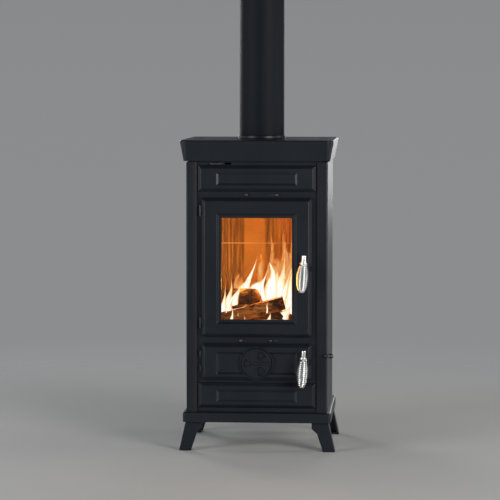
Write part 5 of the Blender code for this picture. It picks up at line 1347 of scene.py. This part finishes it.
# Each flame: its finish, four points of its line (x and height over the hearth), depth, width, all in mm, and
# how early it narrows
FLAME_ROWS, FLAME_SIDES = 48, 20
FLAMES = (
    ("flame", (34, 74), (14, 126), (54, 151), (24, 200), -15, 54, 0.40),
    ("flame", (46, 62), (44, 104), (38, 140), (48, 172), -5, 92, 0.5),
    ("flame", (62, 66), (40, 126), (70, 156), (66, 222), -10, 58, 0.8),
    ("flame", (78, 44), (70, 80), (84, 104), (76, 140), -24, 50, 0.5),
    ("flame", (82, 56), (58, 116), (72, 136), (93, 198), -20, 40, 0.75),
    ("flame", (90, 30), (78, 96), (78, 136), (96, 200), -42, 46, 0.7),
    ("flame", (14, 92), (-6, 136), (12, 146), (24, 186), -25, 18, 0.8),
    ("flame", (-38, 112), (-44, 146), (-18, 164), (-7, 220), -20, 30, 0.95),
    ("flame", (-16, 104), (-20, 126), (4, 132), (14, 160), -12, 58, 0.5),
    ("flame", (-44, 100), (-54, 122), (-40, 136), (-28, 160), -15, 54, 0.6),
    ("flame", (-66, 84), (-72, 104), (-56, 120), (-48, 142), -60, 30, 0.6),
    ("flame", (-70, 34), (-78, 50), (-64, 58), (-70, 84), -110, 16, 0.6),
    ("flame", (-36, 30), (-44, 42), (-30, 48), (-38, 66), -110, 12, 0.7),
    ("flame", (-86, 46), (-94, 96), (-70, 116), (-79, 158), -40, 38, 0.75),
    ("flame", (-98, 40), (-104, 76), (-92, 100), (-94, 140), -50, 32, 0.8),
    ("flame", (-88, 54), (-84, 96), (-66, 124), (-36, 134), -86, 15, 0.8),
    ("flame", (-84, 70), (-62, 74), (-46, 76), (-28, 92), -92, 13, 0.7),
    ("flame", (-94, 30), (-88, 58), (-84, 72), (-88, 94), -104, 13, 0.8),
    ("flame", (60, 36), (66, 56), (80, 62), (90, 94), -62, 52, 0.6),
    ("flame", (26, 34), (26, 48), (36, 58), (32, 72), -98, 18, 0.7),
    ("flame", (24, 68), (28, 80), (20, 88), (29, 100), -106, 7, 0.8),
    ("flame", (-54, 40), (-60, 52), (-50, 60), (-56, 74), -104, 9, 0.8),
    ("wisp", (-66, 90), (-64, 136), (-44, 168), (-56, 204), 10, 62, 0.5),
    ("wisp", (24, 110), (50, 170), (30, 200), (52, 262), 20, 76, 0.5),
    ("wisp", (84, 100), (70, 170), (96, 220), (86, 300), 0, 60, 0.5),
    ("wisp", (-44, 120), (-42, 146), (-34, 160), (-42, 190), 10, 16, 0.8),
    ("wisp", (66, 120), (80, 200), (50, 250), (66, 318), 20, 46, 0.6),
    ("wisp", (30, 110), (14, 180), (46, 220), (20, 290), 25, 42, 0.6),
    ("wisp", (86, 186), (96, 226), (80, 256), (88, 296), 50, 28, 0.8),
    ("wisp", (2, 110), (-14, 170), (10, 210), (-8, 254), 25, 28, 0.6),
)
FIRE_LIGHTS = (((30, -40, 150), 1.0), ((-50, -30, 130), 0.6))
FIRE_COLOUR = (1.0, 0.50, 0.08)
FIRE_SOFTNESS = 35.0 * MM


def bezier(points, share):
    """Cubic curve: sum of points times the four Bernstein weights of share."""
    rest = 1 - share
    weights = np.stack([rest ** 3, 3 * share * rest ** 2, 3 * share ** 2 * rest, share ** 3], 1)
    return weights @ np.asarray(points, float)


def tongue(name, finish_name, line, depth, width, closing):
    """One flame: a lens section square to a Bezier line in x and z, closing to a tip.

    Half width = width / 2 * (0.55 + 0.45 sin(pi (v + 0.15))) * (1 - v) ** closing; its depth is 0.4 of that.
    """
    v = np.linspace(0.0, 0.995, FLAME_ROWS)
    path = bezier(line, v) * MM
    ahead = np.gradient(path, axis=0)
    ahead /= np.linalg.norm(ahead, axis=1, keepdims=True)
    angle = np.linspace(0.0, 2 * np.pi, FLAME_SIDES, endpoint=False)[None]
    half = (width * MM / 2 * (0.55 + 0.45 * np.sin(np.pi * (v + 0.15))) * (1.0 - v) ** closing)[:, None]
    x = path[:, :1] + ahead[:, 1:] * half * np.cos(angle)
    z = path[:, 1:] - ahead[:, :1] * half * np.cos(angle) + HEARTH_HIGH[2]
    y = depth * MM + 4 * MM * np.sin(5 * v[:, None]) + (0.4 * half + 0.3 * MM) * np.sin(angle)
    grid = np.stack([x, y, z], axis=2)
    made = surface(name, grid, finish_name, merge=False)
    across = np.broadcast_to((1.0 + np.cos(angle)) / 2, grid.shape[:2])
    flat = np.stack([across, np.broadcast_to(v[:, None], grid.shape[:2])], axis=2).reshape(-1, 2)
    layer = made.data.uv_layers.new(name="flame")
    corners = np.empty(len(made.data.loops), dtype=np.int32)
    made.data.loops.foreach_get("vertex_index", corners)
    layer.data.foreach_set("uv", flat[corners].ravel().astype(np.float32))
    return settle(made, "root")


def make_flames():
    """Flames from behind the logs to in front of them, and lamps for the warm light they give."""
    for number, (finish_name, *line, depth, width, closing) in enumerate(FLAMES):
        tongue(f"flame_{number:02d}", finish_name, line, depth, width, closing)
    for number, ((x, depth, rise), share) in enumerate(FIRE_LIGHTS):
        lamp = bpy.data.lights.new(f"fire_light_{number}", "POINT")
        lamp.energy = settings().fire_power * share
        lamp.color = FIRE_COLOUR
        lamp.shadow_soft_size = FIRE_SOFTNESS
        holder = bpy.data.objects.new(lamp.name, lamp)
        holder.location = (x * MM, depth * MM, HEARTH_HIGH[2] + rise * MM)
        bpy.context.scene.collection.objects.link(holder)


# Stage

CAMERA_PLACE = Vector((0.43, -6.054, 1.01))
CAMERA_AIM = Vector((-0.018, -0.154, 0.548))
CAMERA_LENS = 158.8
FLOOR_REACH = 4.0
LIGHT_AIM = Vector((0.0, 0.0, 0.5))
WHITE, WARM, COOL = (1.0, 1.0, 1.0), (1.0, 0.98, 0.95), (0.93, 0.96, 1.0)
LIGHTS = (
    ("key_right", (2.5, -3.0, 1.2), (1.6, 1.6), 100.0, WARM),
    ("fill_left", (-2.7, -2.4, 1.0), (1.6, 1.6), 60.0, COOL),
    ("side_right", (3.2, 0.2, 0.8), (0.8, 1.6), 24.0, WHITE),
    ("side_left", (-3.2, 0.4, 0.8), (0.8, 1.6), 10.0, WHITE),
    ("back", (1.0, 4.0, 1.3), (1.4, 1.8), 22.0, WHITE),
    ("back_left", (-2.4, 3.4, 1.6), (1.4, 1.4), 45.0, WHITE),
)
SKY_STOPS = ((0.0, 0.32), (0.50, 0.27), (0.64, 0.20), (0.80, 0.06), (1.0, 0.03))


def add_panel_light(name, place, size, watts, colour):
    """A soft rectangular lamp that faces the stove and isn't seen by the camera."""
    lamp = bpy.data.lights.new(name, "AREA")
    lamp.shape = "RECTANGLE"
    lamp.size, lamp.size_y = size
    lamp.energy = watts
    lamp.color = colour
    made = bpy.data.objects.new(name, lamp)
    made.visible_camera = False
    made.location = place
    made.rotation_euler = (LIGHT_AIM - Vector(place)).to_track_quat("-Z", "Y").to_euler()
    bpy.context.scene.collection.objects.link(made)


def make_sky():
    """A soft world by the height of the looking direction: palest below, nearly black overhead."""
    world = bpy.data.worlds.new("studio")
    world.use_nodes = True
    nodes, links = world.node_tree.nodes, world.node_tree.links
    place = nodes.new("ShaderNodeTexCoord")
    split = nodes.new("ShaderNodeSeparateXYZ")
    share = nodes.new("ShaderNodeMapRange")
    share.inputs["From Min"].default_value = -1.0
    ramp = nodes.new("ShaderNodeValToRGB")
    for stop, (position, value) in enumerate(SKY_STOPS):
        if stop >= len(ramp.color_ramp.elements):
            ramp.color_ramp.elements.new(position)
        element = ramp.color_ramp.elements[stop]
        element.position = position
        element.color = (0.94 * value, 0.97 * value, value, 1.0)
    links.new(place.outputs["Generated"], split.inputs[0])
    links.new(split.outputs["Z"], share.inputs["Value"])
    links.new(share.outputs[0], ramp.inputs[0])
    links.new(ramp.outputs[0], nodes["Background"].inputs["Color"])
    bpy.context.scene.world = world


def make_stage():
    """A pale level floor, soft panel lights all round, the world and the camera."""
    corners = FLOOR_REACH * np.array([(-1, -1, 0), (1, -1, 0), (1, 1, 0), (-1, 1, 0)])
    floor = piece("studio_floor", corners, [[0, 1, 2, 3]], "pale_floor")
    lens = bpy.data.cameras.new("camera")
    lens.lens = CAMERA_LENS
    lens.sensor_width = 36.0
    lens.clip_end = 50.0
    camera = bpy.data.objects.new("camera", lens)
    camera.location = CAMERA_PLACE
    camera.rotation_euler = (CAMERA_AIM - CAMERA_PLACE).to_track_quat("-Z", "Y").to_euler()
    bpy.context.scene.collection.objects.link(camera)
    bpy.context.scene.camera = camera
    for light in LIGHTS:
        add_panel_light(*light)
    make_sky()
    bpy.context.scene.view_settings.view_transform = "Standard"


# Operators, one for each piece or group of like pieces and one for the stage

def operator(maker, label, hint):
    """The Operator class that runs one maker, named after it."""

    def execute(self, context):
        maker()
        return {"FINISHED"}

    name = maker.__name__.removeprefix("make_")
    return type("STOVE_OT_" + name, (bpy.types.Operator,), {
        "__doc__": hint, "bl_idname": "stove." + name, "bl_label": label, "execute": execute})


OPERATORS = (
    operator(make_stage, "Stage", "Build the floor, the lights and the camera"),
    operator(make_plinth, "Plinth", "Build the cast tray under the body"),
    operator(make_legs, "Legs", "Build the four splayed legs"),
    operator(make_posts, "Corner Posts", "Build the two corner posts"),
    operator(make_sheets, "Side and Back Sheets", "Build the side panels and the louvred back"),
    operator(make_front_frame, "Front Frame", "Build the cast front plate"),
    operator(make_trims, "Trim Panels", "Build the two trim panels"),
    operator(make_top_plate, "Top Plate", "Build the cast top with its vents"),
    operator(make_flue, "Flue", "Build the flue collar and pipe"),
    operator(make_fire_door, "Fire Door", "Build the fire door's casting"),
    operator(make_ash_door, "Ash Door", "Build the ash door's casting"),
    operator(make_rosette, "Air Rosette", "Build the turning air disc"),
    operator(make_seals, "Glass and Seals", "Build the glass, ropes, tape and retainer"),
    operator(make_handles, "Handles", "Build the coiled handles, latches and hinge pins"),
    operator(make_controls, "Air Controls", "Build the air slides, lever and riddling rod"),
    operator(make_firebox, "Firebox", "Build the firebox, hearth, guard and ash pan"),
    operator(make_lining, "Lining", "Build the lining blocks and the baffle"),
    operator(make_logs, "Logs and Embers", "Lay the logs on their ember bed"),
    operator(make_flames, "Flames", "Light the fire"),
)


class STOVE_PT_panel(bpy.types.Panel):
    """Lists the stove's pieces and settings"""
    bl_idname = "STOVE_PT_panel"
    bl_label = "Wood Stove"
    bl_space_type = "VIEW_3D"
    bl_region_type = "UI"
    bl_category = "Stove"

    def draw(self, context):
        layout = self.layout
        for name in StoveSettings.__annotations__:
            layout.prop(context.scene.stove_settings, name)
        for item in OPERATORS:
            layout.operator(item.bl_idname)


CLASSES = (StoveSettings, *OPERATORS, STOVE_PT_panel)


def register():
    """Adds the classes and the scene's settings."""
    for item in CLASSES:
        bpy.utils.register_class(item)
    bpy.types.Scene.stove_settings = bpy.props.PointerProperty(type=StoveSettings)


def unregister():
    """Takes the settings and the classes away again."""
    del bpy.types.Scene.stove_settings
    for item in reversed(CLASSES):
        bpy.utils.unregister_class(item)


def main():
    """Runs every operator in order and writes the sizes."""
    register()
    for item in OPERATORS:
        getattr(bpy.ops.stove, item.bl_idname.removeprefix("stove."))()


if __name__ == "__main__":
    main()
